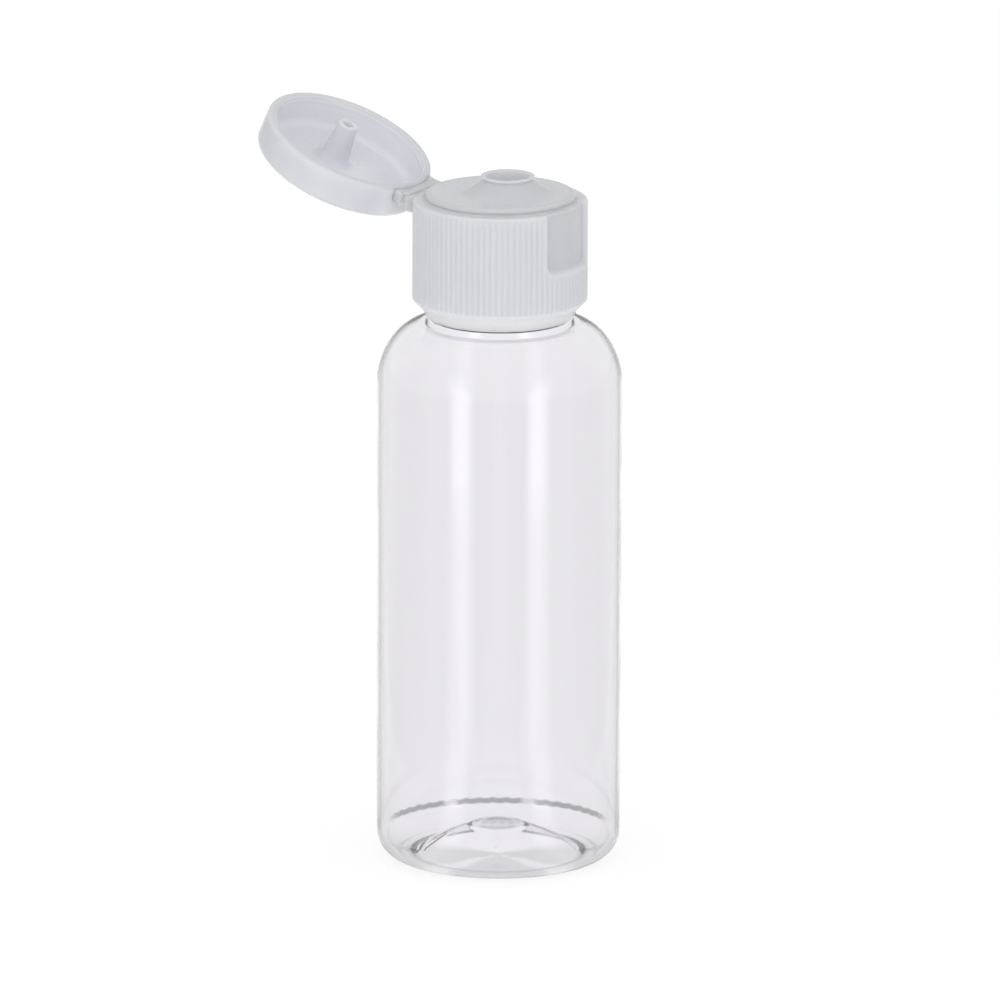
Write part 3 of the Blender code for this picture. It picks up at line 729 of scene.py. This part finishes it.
def skirt_outline():
    """The ribbed skirt: shoulder, outside, chamfer with its crease, foot and threaded bore."""
    foot = SKIRT_BOTTOM - SKIRT_FOOT_DROP
    inner = DECK_RADIUS - 0.3
    outline = rounded([(inner, SHOULDER_LEVEL - 0.6, 0), (inner, SHOULDER_LEVEL + 0.35, 0.01),
                       (DECK_RADIUS + 0.02, SHOULDER_LEVEL + 0.35, 0.01),
                       (DECK_RADIUS + 0.38, SHOULDER_LEVEL, 0.4),
                       (CAP_RADIUS, SHOULDER_LEVEL, 0.35), (CAP_RADIUS, SHOULDER_LEVEL - 1.0, 0)], 4)
    outline += line(outline[-1], (CAP_RADIUS, CHAMFER_TOP + 0.3), 56)
    outline += rounded([(CAP_RADIUS, CHAMFER_TOP + 0.3, 0), (CAP_RADIUS, CHAMFER_TOP, 0.35),
                        (CAP_RADIUS - CREASE_INSET, CHAMFER_TOP - CREASE_DROP, 0.12),
                        (SKIRT_FOOT_RADIUS, foot, 0.18), (SKIRT_BORE, foot, 0.1),
                        (SKIRT_BORE, foot + 0.6, 0)], 4)
    outline += line(outline[-1], (SKIRT_BORE, MOUTH_LEVEL), 40)
    outline += [(SKIRT_BORE, MOUTH_LEVEL)]
    return outline


def recess_distance(height, turn):
    """Signed distance from the thumb recess's outline on the skirt, negative inside it."""
    aside = np.abs((turn + math.pi) % math.tau - math.pi) * CAP_RADIUS
    across = aside - (RECESS_HALF_WIDTH - RECESS_CORNER)
    below = (SHOULDER_LEVEL - RECESS_HEIGHT + RECESS_CORNER) - height
    outside = np.hypot(np.maximum(across, 0.0), np.maximum(below, 0.0))
    return outside + np.minimum(np.maximum(across, below), 0.0) - RECESS_CORNER


def skirt_details(radius, height, turn):
    """The thumb recess on the outside and the thread in the bore."""
    on_wall = (radius > CAP_RADIUS - 0.5) & (height > CHAMFER_TOP)
    depth = 1 - smooth_step(recess_distance(height, turn), -RECESS_EDGE, RECESS_EDGE)
    thread = thread_wave(height, turn, MOUTH_LEVEL - THREAD_TOP_SETBACK - THREAD_PITCH / 2)
    on_bore = (radius < SKIRT_BORE + 0.01) & (height > SKIRT_BOTTOM + 0.5)
    radius = np.where(on_wall, radius - RECESS_DEPTH * depth, radius)
    radius = np.where(on_bore, radius - THREAD_DEPTH * thread, radius)
    return radius, height


def rib_weight(points):
    """Weight of the grip ribs: the outer wall, run out at both ends and round the recess."""
    x, y, z, reach = about_axis(points)
    high = SHOULDER_LEVEL - RIB_MARGIN
    foot = smooth_step(z, CHAMFER_TOP - 0.3, CHAMFER_TOP + 0.1)
    head = 1 - smooth_step(z, high - 0.25, high)
    clear = smooth_step(recess_distance(z, np.arctan2(y, x)), RECESS_EDGE, 3 * RECESS_EDGE)
    return foot * head * clear * (reach > CAP_RADIUS - 0.4)


def skirt_painted_light(places):
    """Painted shade and light: the recess is painted greyer, as if its thin wall let the light through; the
    foot is painted paler, as if lit from inside the bottle; the top of the skirt is painted greyer, and paler
    right by the deck.
    """
    x, y, z, reach = about_axis(places)
    inside = 1 - smooth_step(recess_distance(z, np.arctan2(y, x)), -1.2, 0.3)
    foot = 1 - smooth_step(z, CHAMFER_TOP - 0.6, CHAMFER_TOP + 0.4)
    ledge = smooth_step(z, SHOULDER_LEVEL - 0.8, SHOULDER_LEVEL - 0.1)
    by_deck = 1 - smooth_step(reach, DECK_RADIUS + 0.2, DECK_RADIUS + 0.8)
    return 0.38 * foot + (0.14 * by_deck - 0.07) * ledge - 0.1 * inside * (reach > CAP_RADIUS - 1.5)


def make_skirt(tree, polypropylene):
    """The skirt that grips the bottle's neck, with its grip ribs, recess and thread."""
    skirt = turned("ribbed_skirt", skirt_outline(), SKIRT_COLUMNS, polypropylene, skirt_details)
    store(skirt, "painted_light_and_shade", skirt_painted_light)
    press_ribs(skirt, tree, RIB_COUNT, RIB_DEPTH, RIB_CREST_SHARE, polypropylene, rib_weight)
    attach(skirt, "closure_body")
    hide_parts("closure_shell")


def deck_outline():
    """The snap deck and its spout in one skin, with the shift of each ring's centre."""
    flare_level = DECK_TOP + 0.05
    flare_run = FLARE_RADIUS - SPOUT_NECK_RADIUS
    flare_rise = SPOUT_TOP - SPOUT_COLLAR - flare_level
    outline = [(ORIFICE_RADIUS, DECK_UNDERSIDE + 0.1), (DECK_RADIUS - 0.3, DECK_UNDERSIDE + 0.1)]
    outline += rounded([(DECK_RADIUS, DECK_UNDERSIDE + 0.1, 0), (DECK_RADIUS, DECK_TOP, DECK_EDGE),
                        (DECK_RADIUS - 1.2, DECK_TOP, 0)], 8)
    outline = [(r, z, SPOUT_SHIFT if r < 5 else 0.0) for r, z in outline]
    outline += [(DECK_RADIUS - 2.2, DECK_TOP, SPOUT_SHIFT * 0.3),
                (FLARE_RADIUS + 0.9, DECK_TOP, SPOUT_SHIFT * 0.85)]
    spout = [(FLARE_RADIUS + 0.3, DECK_TOP + 0.01)]
    for step in range(FLARE_STEPS + 1):
        t = step / FLARE_STEPS
        spout.append((FLARE_RADIUS - flare_run * t, flare_level + flare_rise * t ** FLARE_POWER))
    spout += rounded([(SPOUT_NECK_RADIUS, SPOUT_TOP - SPOUT_COLLAR + 0.05, 0),
                      (LIP_RADIUS, SPOUT_TOP - SPOUT_COLLAR / 2, 0.2), (LIP_RADIUS, SPOUT_TOP, LIP_EDGE),
                      (MOUTH_RADIUS, SPOUT_TOP, LIP_EDGE), (ORIFICE_RADIUS, DECK_TOP + 0.3, 0.25),
                      (ORIFICE_RADIUS, DECK_UNDERSIDE + 0.4, 0)], 5)
    return outline + [(r, z, SPOUT_SHIFT) for r, z in spout]


def deck_painted_light(places):
    """Painted shade and light: the hollow spout's cone and the deck's rim are painted greyer, and the foot of
    the rim paler, as if light leaked out there.
    """
    x, y, z, reach = about_axis(places)
    rim = smooth_step(reach, DECK_RADIUS - 1.0, DECK_RADIUS - 0.4)
    foot = (1 - smooth_step(z, SHOULDER_LEVEL + 0.1, DECK_TOP - 0.2)) * (reach > DECK_RADIUS - 0.5)
    cone = 1 - smooth_step(np.hypot(x - SPOUT_SHIFT, y), FLARE_RADIUS - 1.5, FLARE_RADIUS + 0.5)
    return -0.12 * rim * (1 - foot) + 0.1 * foot - 0.1 * cone


def make_deck(polypropylene):
    """The raised deck that the lid snaps over, in one skin with its spout."""
    deck = turned("snap_deck_with_spout", deck_outline(), DECK_COLUMNS, polypropylene)
    store(deck, "painted_light_and_shade", deck_painted_light)
    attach(deck, "closure_body")
    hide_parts("closure_deck", "spout")


def open_lid(item):
    """Swing a piece made in the closed place about the hinge, to where the frame has it."""
    turn = Matrix.Translation(HINGE_POINT) @ Matrix.Rotation(-OPEN_ANGLE, 4, "Y")
    item.data.transform(turn @ Matrix.Translation(-HINGE_POINT))


def lid_outline():
    """The lid with its snap bead and its hollow stopper pin, as it lies shut."""
    outer = CAP_RADIUS - 0.03
    inner = LID_BORE_RADIUS
    ceiling = CEILING_LEVEL
    tip = LID_RIM - PIN_REACH
    top = [(0.0, LID_TOP - 0.12), (0.9, LID_TOP - 0.12), (1.1, LID_TOP)]
    top += line((1.1, LID_TOP), (outer - LID_EDGE, LID_TOP), 6)
    top += arc(outer - LID_EDGE, LID_TOP - LID_EDGE, LID_EDGE, 90.0, 0.0, 12)
    rim = rounded([top[-1] + (0,), (outer, LID_RIM, 0.5), (inner - 0.1, LID_RIM, 0.5),
                   (inner - SNAP_DEPTH, LID_RIM + 0.5, 0.2), (inner - SNAP_DEPTH, LID_RIM + 0.7, 0.2),
                   (inner, LID_RIM + 1.2, 0.3), (inner, LID_RIM + 2.0, 0)], 5)[1:]
    rim += line(rim[-1], (inner, ceiling - 1.4), 5)
    rim += rounded([(inner, ceiling - 1.4, 0), (inner, ceiling, 1.3), (inner - 2.0, ceiling, 0)], 8)
    root = PIN_ROOT_RADIUS - PIN_FOOT_RADIUS
    pin = [(PIN_ROOT_RADIUS + 0.5, ceiling)]
    for step in range(PIN_ROOT_STEPS + 1):
        a = math.radians(90.0 * step / PIN_ROOT_STEPS)
        pin.append((PIN_ROOT_RADIUS - root * math.sin(a), ceiling - PIN_ROOT_HEIGHT * (1 - math.cos(a))))
    pin += line(pin[-1], (PIN_RADIUS, tip + 0.4), 6)
    pin += rounded([(PIN_RADIUS + 0.02, tip + 0.4, 0), (PIN_RADIUS, tip, 0.35),
                    (PIN_HOLLOW_RADIUS, tip, 0.25), (PIN_HOLLOW_RADIUS - 0.1, tip + PIN_HOLLOW_DEPTH, 0.2),
                    (0.0, tip + PIN_HOLLOW_DEPTH, 0)], 4)
    shell = [(r, z, 0.0) for r, z in top + rim]
    middle = [(inner - 4.0, ceiling, SPOUT_SHIFT * 0.5)]
    return shell + middle + [(r, z, SPOUT_SHIFT) for r, z in pin]


def lid_painted_light(places):
    """Painted light and shade: inside, the thin wall round the ceiling is painted paler, as if the light came
    through it, and the pin's root paler too; the ceiling and the rim are painted greyer.

    Outside, the wall is painted paler by the hinge and greyer on the far side.
    """
    x, _, z, reach = about_axis(places)
    within = (reach < LID_BORE_RADIUS + 0.1) * (1 - smooth_step(z, LID_TOP - 0.5, LID_TOP - 0.2))
    centre = 1 - smooth_step(reach, LID_BORE_RADIUS - 2.2, LID_BORE_RADIUS - 1.0)
    roof = within * centre * (z > CEILING_LEVEL - 0.5)
    wall = within * (1 - centre)
    rim = 1 - smooth_step(z, LID_RIM + 0.1, LID_RIM + 0.6)
    near_pin = 1 - smooth_step(reach, PIN_ROOT_RADIUS - 0.5, PIN_ROOT_RADIUS + 1.0)
    root = near_pin * smooth_step(z, CEILING_LEVEL - 3.5, CEILING_LEVEL - 1.0)
    outside = reach > CAP_RADIUS - 0.6
    far_side = outside * smooth_step(x, 1.0, 11.0)
    hinge_side = outside * smooth_step(-x, 9.6, 11.8)
    return (0.13 * wall * (1 - rim) - 0.03 * roof + 0.1 * root * within
            - 0.09 * rim * (reach > 6.0) + (0.25 * hinge_side - 0.1 * far_side) * (1 - rim))


def make_lid(polypropylene):
    """The lid with its stopper pin, made shut and then swung open."""
    lid = turned("lid_cup_with_pin", lid_outline(), LID_COLUMNS, polypropylene)
    store(lid, "painted_light_and_shade", lid_painted_light)
    open_lid(lid)
    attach(lid, "lid_body")
    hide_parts("lid_shell", "lid_pin")


def pad(name, low, high, low_corner, high_corner, material):
    """A hinge pad on the -X side: a flat front with round corners and a back round the cap."""
    sections = []
    for column in range(PAD_COLUMNS + 1):
        across = -PAD_HALF_WIDTH * math.cos(math.pi * column / PAD_COLUMNS)
        limits = []
        for corner in (low_corner, high_corner):
            into = max(abs(across) - (PAD_HALF_WIDTH - corner), 0.0)
            limits.append(corner - math.sqrt(max(corner ** 2 - into ** 2, 0.0)))
        back = math.sqrt(PAD_BACK_RADIUS ** 2 - across ** 2)
        foot, head = low + limits[0], high - limits[1]
        sections.append([(AXIS_X - back, across, foot), (AXIS_X - PAD_FRONT, across, foot),
                         (AXIS_X - PAD_FRONT, across, head), (AXIS_X - back, across, head)])
    item = bar(name, sections, material)
    soften(item, PAD_ROUND)
    store(item, "painted_light_and_shade", pad_painted_light)
    return item


def pad_painted_light(places):
    """Painted shade on the hinge, a little greyer than the walls and most at its ends, and painted light on
    its fronts, as if lit through.
    """
    reach = AXIS_X - places[:, 0]
    ends = smooth_step(np.abs(places[:, 1]), PAD_HALF_WIDTH - 0.6, PAD_HALF_WIDTH - 0.1)
    front = smooth_step(reach, HINGE_REACH - 0.5, HINGE_REACH - 0.2)
    return 0.2 * front * (1 - ends) - 0.07 - 0.06 * ends


def soften(item, width):
    """Round a piece's sharp edges and keep the result as its plain mesh."""
    bevel = item.modifiers.new("edges", "BEVEL")
    bevel.width = width * MM
    bevel.segments = 5
    bevel.limit_method = "ANGLE"
    bevel.angle_limit = math.radians(40)
    keep_result(item)


def opened(reach, level):
    """Where a point of the shut lid, given as reach from the axis and height, lies when open."""
    out, up = reach - HINGE_REACH, level - HINGE_LEVEL
    c, s = math.cos(OPEN_ANGLE), math.sin(OPEN_ANGLE)
    return HINGE_REACH + out * c + up * s, HINGE_LEVEL - out * s + up * c


def film_painted_shade(places):
    """Painted shade: the film is a little greyer than the walls all over."""
    return np.full(len(places), -0.05)


def hinge_film(polypropylene):
    """The thin film of the living hinge, between the front edges of the two pads."""
    start = np.array((PAD_FRONT, HINGE_LEVEL - PAD_PARTING))
    end = np.array(opened(PAD_FRONT, HINGE_LEVEL + PAD_PARTING))
    along = (end - start) / np.linalg.norm(end - start)
    thick = np.array((-along[1], along[0])) * FILM_THICKNESS / 2
    sections = []
    for step in range(FILM_STEPS + 1):
        t = step / FILM_STEPS
        middle = start + (end - start) * t + along * FILM_OVERLAP * (2 * t - 1)
        section = []
        for side, across in ((1, -1), (1, 1), (-1, 1), (-1, -1)):
            reach, level = middle + thick * side
            section.append((AXIS_X - reach, across * FILM_HALF_WIDTH, level))
        sections.append(section)
    film = bar("hinge_film", sections, polypropylene)
    store(film, "painted_light_and_shade", film_painted_shade)
    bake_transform(film)


def make_hinge(polypropylene):
    """The two pads of the living hinge and the thin film that bends between them."""
    base_top = HINGE_LEVEL - PAD_PARTING
    base = pad("hinge_base_pad", SHOULDER_LEVEL - BASE_PAD_DROP, base_top, PAD_CORNER, 0.0, polypropylene)
    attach(base, "closure_body")
    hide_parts("hinge_base_leaf")
    lid_low = HINGE_LEVEL + PAD_PARTING
    lid = pad("hinge_lid_pad", lid_low, lid_low + LID_PAD_RISE, 0.0, PAD_CORNER, polypropylene)
    open_lid(lid)
    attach(lid, "lid_body")
    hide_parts("hinge_lid_leaf")
    hinge_film(polypropylene)


# studio


def parts_in_view(tree, vector):
    """A vector's parts to the right of the photograph's camera, away from it and up."""
    turned_to_view = add_node(tree, "ShaderNodeVectorRotate", {"rotation_type": "Z_AXIS"},
                              {"Vector": vector, "Angle": -math.radians(VIEW_AZIMUTH)}).outputs[0]
    return add_node(tree, "ShaderNodeSeparateXYZ", None, {0: turned_to_view}).outputs


def view_angle(tree, vector):
    """Angle in the floor's plane between a vector and the way to the photograph's camera."""
    parts = parts_in_view(tree, vector)
    near = add_node(tree, "ShaderNodeMath", {"operation": "MULTIPLY"}, {0: parts[1], 1: -1.0}).outputs[0]
    side = add_node(tree, "ShaderNodeMath", {"operation": "ARCTAN2"}, {0: parts[0], 1: near}).outputs[0]
    return add_node(tree, "ShaderNodeMath", {"operation": "ABSOLUTE"}, {0: side}).outputs[0]


def overhead_strips(tree, direction):
    """0 to 1: how far a direction points at one of the two long lamps that lean over the bottle."""
    parts = parts_in_view(tree, direction)
    side = add_node(tree, "ShaderNodeMath", {"operation": "ABSOLUTE"}, {0: parts[0]}).outputs[0]
    folded = add_node(tree, "ShaderNodeCombineXYZ", None, {0: side, 1: parts[1], 2: parts[2]}).outputs[0]
    across = add_node(tree, "ShaderNodeVectorMath", {"operation": "DOT_PRODUCT"},
                      {0: folded, 1: LAMP_PLANE}).outputs["Value"]
    away = add_node(tree, "ShaderNodeMath", {"operation": "ABSOLUTE"}, {0: across}).outputs[0]
    return add_node(tree, "ShaderNodeMapRange", SMOOTH,
                    {"Value": away, "From Min": math.sin(math.radians(STRIP_CORE)),
                     "From Max": math.sin(math.radians(STRIP_EDGE)), "To Min": 1.0, "To Max": 0.0}).outputs[0]


def strip_pattern(tree, vector):
    """0 to 1: how far a place on the floor lies in the light pool of a strip lamp."""
    off_strip = add_node(tree, "ShaderNodeMath", {"operation": "SUBTRACT"},
                         {0: view_angle(tree, vector), 1: math.radians(STRIP_ANGLE)}).outputs[0]
    away = add_node(tree, "ShaderNodeMath", {"operation": "ABSOLUTE"}, {0: off_strip}).outputs[0]
    return add_node(tree, "ShaderNodeMapRange", SMOOTH,
                    {"Value": away, "From Min": math.radians(STRIP_CORE),
                     "From Max": math.radians(STRIP_EDGE), "To Min": 1.0, "To Max": 0.0}).outputs[0]


def lane_behind(tree, vector):
    """1 on the floor behind the bottle, a little more on either side, less where its edges mirror."""
    parts = parts_in_view(tree, vector)
    side = add_node(tree, "ShaderNodeMath", {"operation": "ABSOLUTE"}, {0: parts[0]}).outputs[0]
    beyond = add_node(tree, "ShaderNodeMath", {"operation": "SUBTRACT"},
                      {0: side, 1: BODY_RADIUS * MM}).outputs[0]
    back = add_node(tree, "ShaderNodeMath", {"operation": "MAXIMUM"}, {0: parts[1], 1: 0.01}).outputs[0]
    spread = add_node(tree, "ShaderNodeMath", {"operation": "DIVIDE"}, {0: beyond, 1: back}).outputs[0]
    lit = add_node(tree, "ShaderNodeMapRange", SMOOTH,
                   {"Value": spread, "From Min": 0.03, "From Max": 0.09,
                    "To Min": 1.0, "To Max": 1.09}).outputs[0]
    dim = add_node(tree, "ShaderNodeMapRange", SMOOTH,
                   {"Value": spread, "From Min": 0.26, "From Max": 0.46,
                    "To Min": 1.0, "To Max": 0.7}).outputs[0]
    return add_node(tree, "ShaderNodeMath", {"operation": "MULTIPLY"}, {0: lit, 1: dim}).outputs[0]


def studio_world():
    """White behind everything for the camera, a soft grey room for the light and reflections."""
    world = bpy.data.worlds.new("studio")
    bpy.context.scene.world = world
    world.use_nodes = True
    tree = world.node_tree
    tree.nodes.clear()
    white = linear("#FFFFFF")
    path = add_node(tree, "ShaderNodeLightPath").outputs
    direction = add_node(tree, "ShaderNodeTexCoord").outputs["Generated"]
    height = add_node(tree, "ShaderNodeSeparateXYZ", None, {0: direction}).outputs[2]
    level = add_node(tree, "ShaderNodeMapRange", SMOOTH,
                     {"Value": height, "From Min": 0.0, "From Max": 0.9,
                      "To Min": 0.66, "To Max": 1.0}).outputs[0]
    facing = add_node(tree, "ShaderNodeVectorMath", {"operation": "DOT_PRODUCT"},
                      {0: direction, 1: view_vector(VIEW_AZIMUTH, 0.0)}).outputs["Value"]
    frontal = add_node(tree, "ShaderNodeMapRange", None,
                       {"Value": facing, "From Min": -1.0, "To Min": 0.6, "To Max": 1.16}).outputs[0]
    lit = add_node(tree, "ShaderNodeMath", {"operation": "MULTIPLY"}, {0: level, 1: frontal}).outputs[0]
    room = add_node(tree, "ShaderNodeBackground", None, {"Color": white, "Strength": lit})
    strips = overhead_strips(tree, direction)
    fade = add_node(tree, "ShaderNodeMapRange", SMOOTH,
                    {"Value": height, "From Min": 0.1, "From Max": 0.65,
                     "To Min": 1.1, "To Max": 0.0}).outputs[0]
    lamps = add_node(tree, "ShaderNodeMath", {"operation": "MULTIPLY"}, {0: strips, 1: fade}).outputs[0]
    shine = add_node(tree, "ShaderNodeMath", {"operation": "ADD"}, {0: lamps, 1: ROOM_SHINE}).outputs[0]
    mirrored = add_node(tree, "ShaderNodeBackground", None, {"Color": white, "Strength": shine})
    behind = add_node(tree, "ShaderNodeMapRange", SMOOTH,
                      {"Value": view_angle(tree, direction), "From Min": math.radians(60),
                       "From Max": math.radians(120)}).outputs[0]
    low = add_node(tree, "ShaderNodeMapRange", SMOOTH,
                   {"Value": height, "From Min": 0.5, "From Max": 0.95,
                    "To Min": 1.0, "To Max": 0.3}).outputs[0]
    backdrop = add_node(tree, "ShaderNodeMath", {"operation": "MULTIPLY"}, {0: behind, 1: low}).outputs[0]
    clear = add_node(tree, "ShaderNodeMath", {"operation": "MAXIMUM"}, {0: backdrop, 1: shine}).outputs[0]
    through = add_node(tree, "ShaderNodeBackground", None, {"Color": white, "Strength": clear})
    paper = add_node(tree, "ShaderNodeBackground", None, {"Color": white, "Strength": 1.0})
    seen = room
    for ray, background in (("Is Glossy Ray", mirrored), ("Is Transmission Ray", through),
                            ("Is Camera Ray", paper)):
        seen = add_node(tree, "ShaderNodeMixShader", None,
                        {0: path[ray], 1: seen.outputs[0], 2: background.outputs[0]})
    add_node(tree, "ShaderNodeOutputWorld", None, {0: seen.outputs[0]})


def floor_paper():
    """White paper sweep. In reflections it shows painted pools of light before two strip lamps, on a glow
    painted lighter and darker by place; in the light it gives the object it glows brighter towards the
    camera.
    """
    material = bpy.data.materials.new("white paper, matt")
    material.use_nodes = True
    tree = material.node_tree
    tree.nodes.clear()
    path = add_node(tree, "ShaderNodeLightPath").outputs
    place = add_node(tree, "ShaderNodeTexCoord").outputs["Object"]
    centred = add_node(tree, "ShaderNodeVectorMath", {"operation": "SUBTRACT"},
                       {0: place, 1: (AXIS_X * MM, 0.0, 0.0)}).outputs[0]
    angle = view_angle(tree, centred)
    strip = strip_pattern(tree, centred)
    reach = add_node(tree, "ShaderNodeVectorMath", {"operation": "LENGTH"}, {0: centred}).outputs["Value"]
    far = add_node(tree, "ShaderNodeMapRange", SMOOTH,
                   {"Value": reach, "From Min": 0.2, "From Max": 0.27,
                    "To Min": 0.7, "To Max": 1.3}).outputs[0]
    clear = add_node(tree, "ShaderNodeMapRange", SMOOTH,
                     {"Value": reach, "From Min": 0.02, "From Max": 0.05,
                      "To Min": 0.25, "To Max": 1.0}).outputs[0]
    lit = add_node(tree, "ShaderNodeMath", {"operation": "MULTIPLY"}, {0: strip, 1: clear}).outputs[0]
    pool = add_node(tree, "ShaderNodeMath", {"operation": "MULTIPLY"}, {0: lit, 1: far}).outputs[0]
    front = add_node(tree, "ShaderNodeMapRange", SMOOTH,
                     {"Value": angle, "From Min": math.radians(15), "From Max": math.radians(65),
                      "To Min": 0.58, "To Max": 0.72}).outputs[0]
    rear = add_node(tree, "ShaderNodeMapRange", SMOOTH,
                    {"Value": angle, "From Min": math.radians(85), "From Max": math.radians(140),
                     "To Min": 0.0, "To Max": 0.33}).outputs[0]
    back = add_node(tree, "ShaderNodeMath", {"operation": "ADD"}, {0: front, 1: rear}).outputs[0]
    lane = lane_behind(tree, centred)
    backdrop = add_node(tree, "ShaderNodeMath", {"operation": "MULTIPLY"}, {0: back, 1: lane}).outputs[0]
    close = add_node(tree, "ShaderNodeMapRange", SMOOTH,
                     {"Value": reach, "From Min": 0.022, "From Max": 0.07,
                      "To Min": 0.8, "To Max": 0.0}).outputs[0]
    ground = add_node(tree, "ShaderNodeMath", {"operation": "MAXIMUM"}, {0: backdrop, 1: close}).outputs[0]
    total = add_node(tree, "ShaderNodeMath", {"operation": "ADD"}, {0: pool, 1: ground}).outputs[0]
    reflected = add_node(tree, "ShaderNodeEmission", None, {"Strength": total})
    matt = add_node(tree, "ShaderNodeBsdfDiffuse", None, {"Color": linear("#898989")})
    table = add_node(tree, "ShaderNodeEmission", None, {"Strength": FLOOR_GLOW})
    shown = add_node(tree, "ShaderNodeAddShader", None, {0: table.outputs[0], 1: matt.outputs[0]})
    fill = add_node(tree, "ShaderNodeMapRange", None,
                    {"Value": angle, "From Max": math.radians(110),
                     "To Min": 1.06, "To Max": 0.84}).outputs[0]
    lit_floor = add_node(tree, "ShaderNodeEmission", None, {"Strength": fill})
    matt_or_fill = add_node(tree, "ShaderNodeMixShader", None,
                            {0: path["Is Diffuse Ray"], 1: shown.outputs[0], 2: lit_floor.outputs[0]})
    whole = add_node(tree, "ShaderNodeMixShader", None,
                     {0: path["Is Glossy Ray"], 1: matt_or_fill.outputs[0], 2: reflected.outputs[0]})
    add_node(tree, "ShaderNodeOutputMaterial", None, {0: whole.outputs[0]})
    return material


def make_floor():
    """The paper under the bottle, a hair lower than its foot."""
    corners = [(x * FLOOR_HALF, y * FLOOR_HALF, FLOOR_LEVEL) for x, y in ((-1, -1), (1, -1), (1, 1), (-1, 1))]
    add_piece("floor", corners, [(0, 1, 2, 3)], floor_paper())


def view_vector(azimuth, elevation):
    """Unit vector from the object towards a place at this azimuth and elevation, in degrees."""
    a, e = math.radians(azimuth), math.radians(elevation)
    return Vector((math.sin(a) * math.cos(e), -math.cos(a) * math.cos(e), math.sin(e)))


def add_softbox(name, azimuth):
    """A soft square lamp that lights the object but isn't seen, not even in reflections."""
    data = bpy.data.lights.new(name, "AREA")
    data.size = SOFTBOX_SIZE
    data.energy = SOFTBOX_POWER
    lamp = bpy.data.objects.new(name, data)
    towards = view_vector(azimuth, SOFTBOX_ELEVATION)
    lamp.location = Vector((AXIS_X * MM, 0.0, CENTRE_LEVEL * MM)) + towards * SOFTBOX_DISTANCE
    lamp.rotation_mode = "QUATERNION"
    lamp.rotation_quaternion = towards.to_track_quat("Z", "Y")
    lamp.visible_camera = False
    lamp.visible_glossy = False
    lamp.visible_transmission = False
    bpy.context.scene.collection.objects.link(lamp)


def make_camera():
    """The photograph's view: a long lens, far away and a little above, with a slight roll."""
    data = bpy.data.cameras.new("camera")
    data.sensor_width = SENSOR_MM
    data.lens = PIXELS_PER_MM * VIEW_DISTANCE * SENSOR_MM / FRAME_PIXELS
    data.clip_start = 0.1
    data.clip_end = 12.0
    camera = bpy.data.objects.new("camera", data)
    back = view_vector(VIEW_AZIMUTH, VIEW_ELEVATION)
    a = math.radians(VIEW_AZIMUTH)
    right = Vector((math.cos(a), math.sin(a), 0.0))
    aside = (FRAME_PIXELS / 2 - AXIS_PIXEL_X) / PIXELS_PER_MM
    target = (Vector((AXIS_X, 0.0, CENTRE_LEVEL)) + right * aside) * MM
    camera.location = target + back * (VIEW_DISTANCE * MM)
    camera.rotation_mode = "QUATERNION"
    roll = Matrix.Rotation(math.radians(VIEW_ROLL), 3, "Z").to_quaternion()
    camera.rotation_quaternion = back.to_track_quat("Z", "Y") @ roll
    bpy.context.scene.collection.objects.link(camera)
    bpy.context.scene.camera = camera


make_camera()
studio_world()
make_floor()
add_softbox("left softbox", VIEW_AZIMUTH - SOFTBOX_TURN)
add_softbox("right softbox", VIEW_AZIMUTH + SOFTBOX_TURN)
bpy.context.scene.view_settings.view_transform = "Standard"

ribs = radial_ribs_tree()
clear_pet = blown_pet()
natural_pp = moulded_polypropylene("natural polypropylene, injection-moulded", "#D9DADF", "#D4D5DB", 0.24)
soft_pe = moulded_polypropylene("polyethylene seal, injection-moulded", "#E2E2E2", "#DADADB", 0.42)

make_bottle(ribs, clear_pet)
make_skirt(ribs, natural_pp)
make_deck(natural_pp)
make_lid(natural_pp)
make_hinge(natural_pp)

seal = frame["nodes"]["mouth_seal"]
seal.data.materials.clear()
seal.data.materials.append(soft_pe)
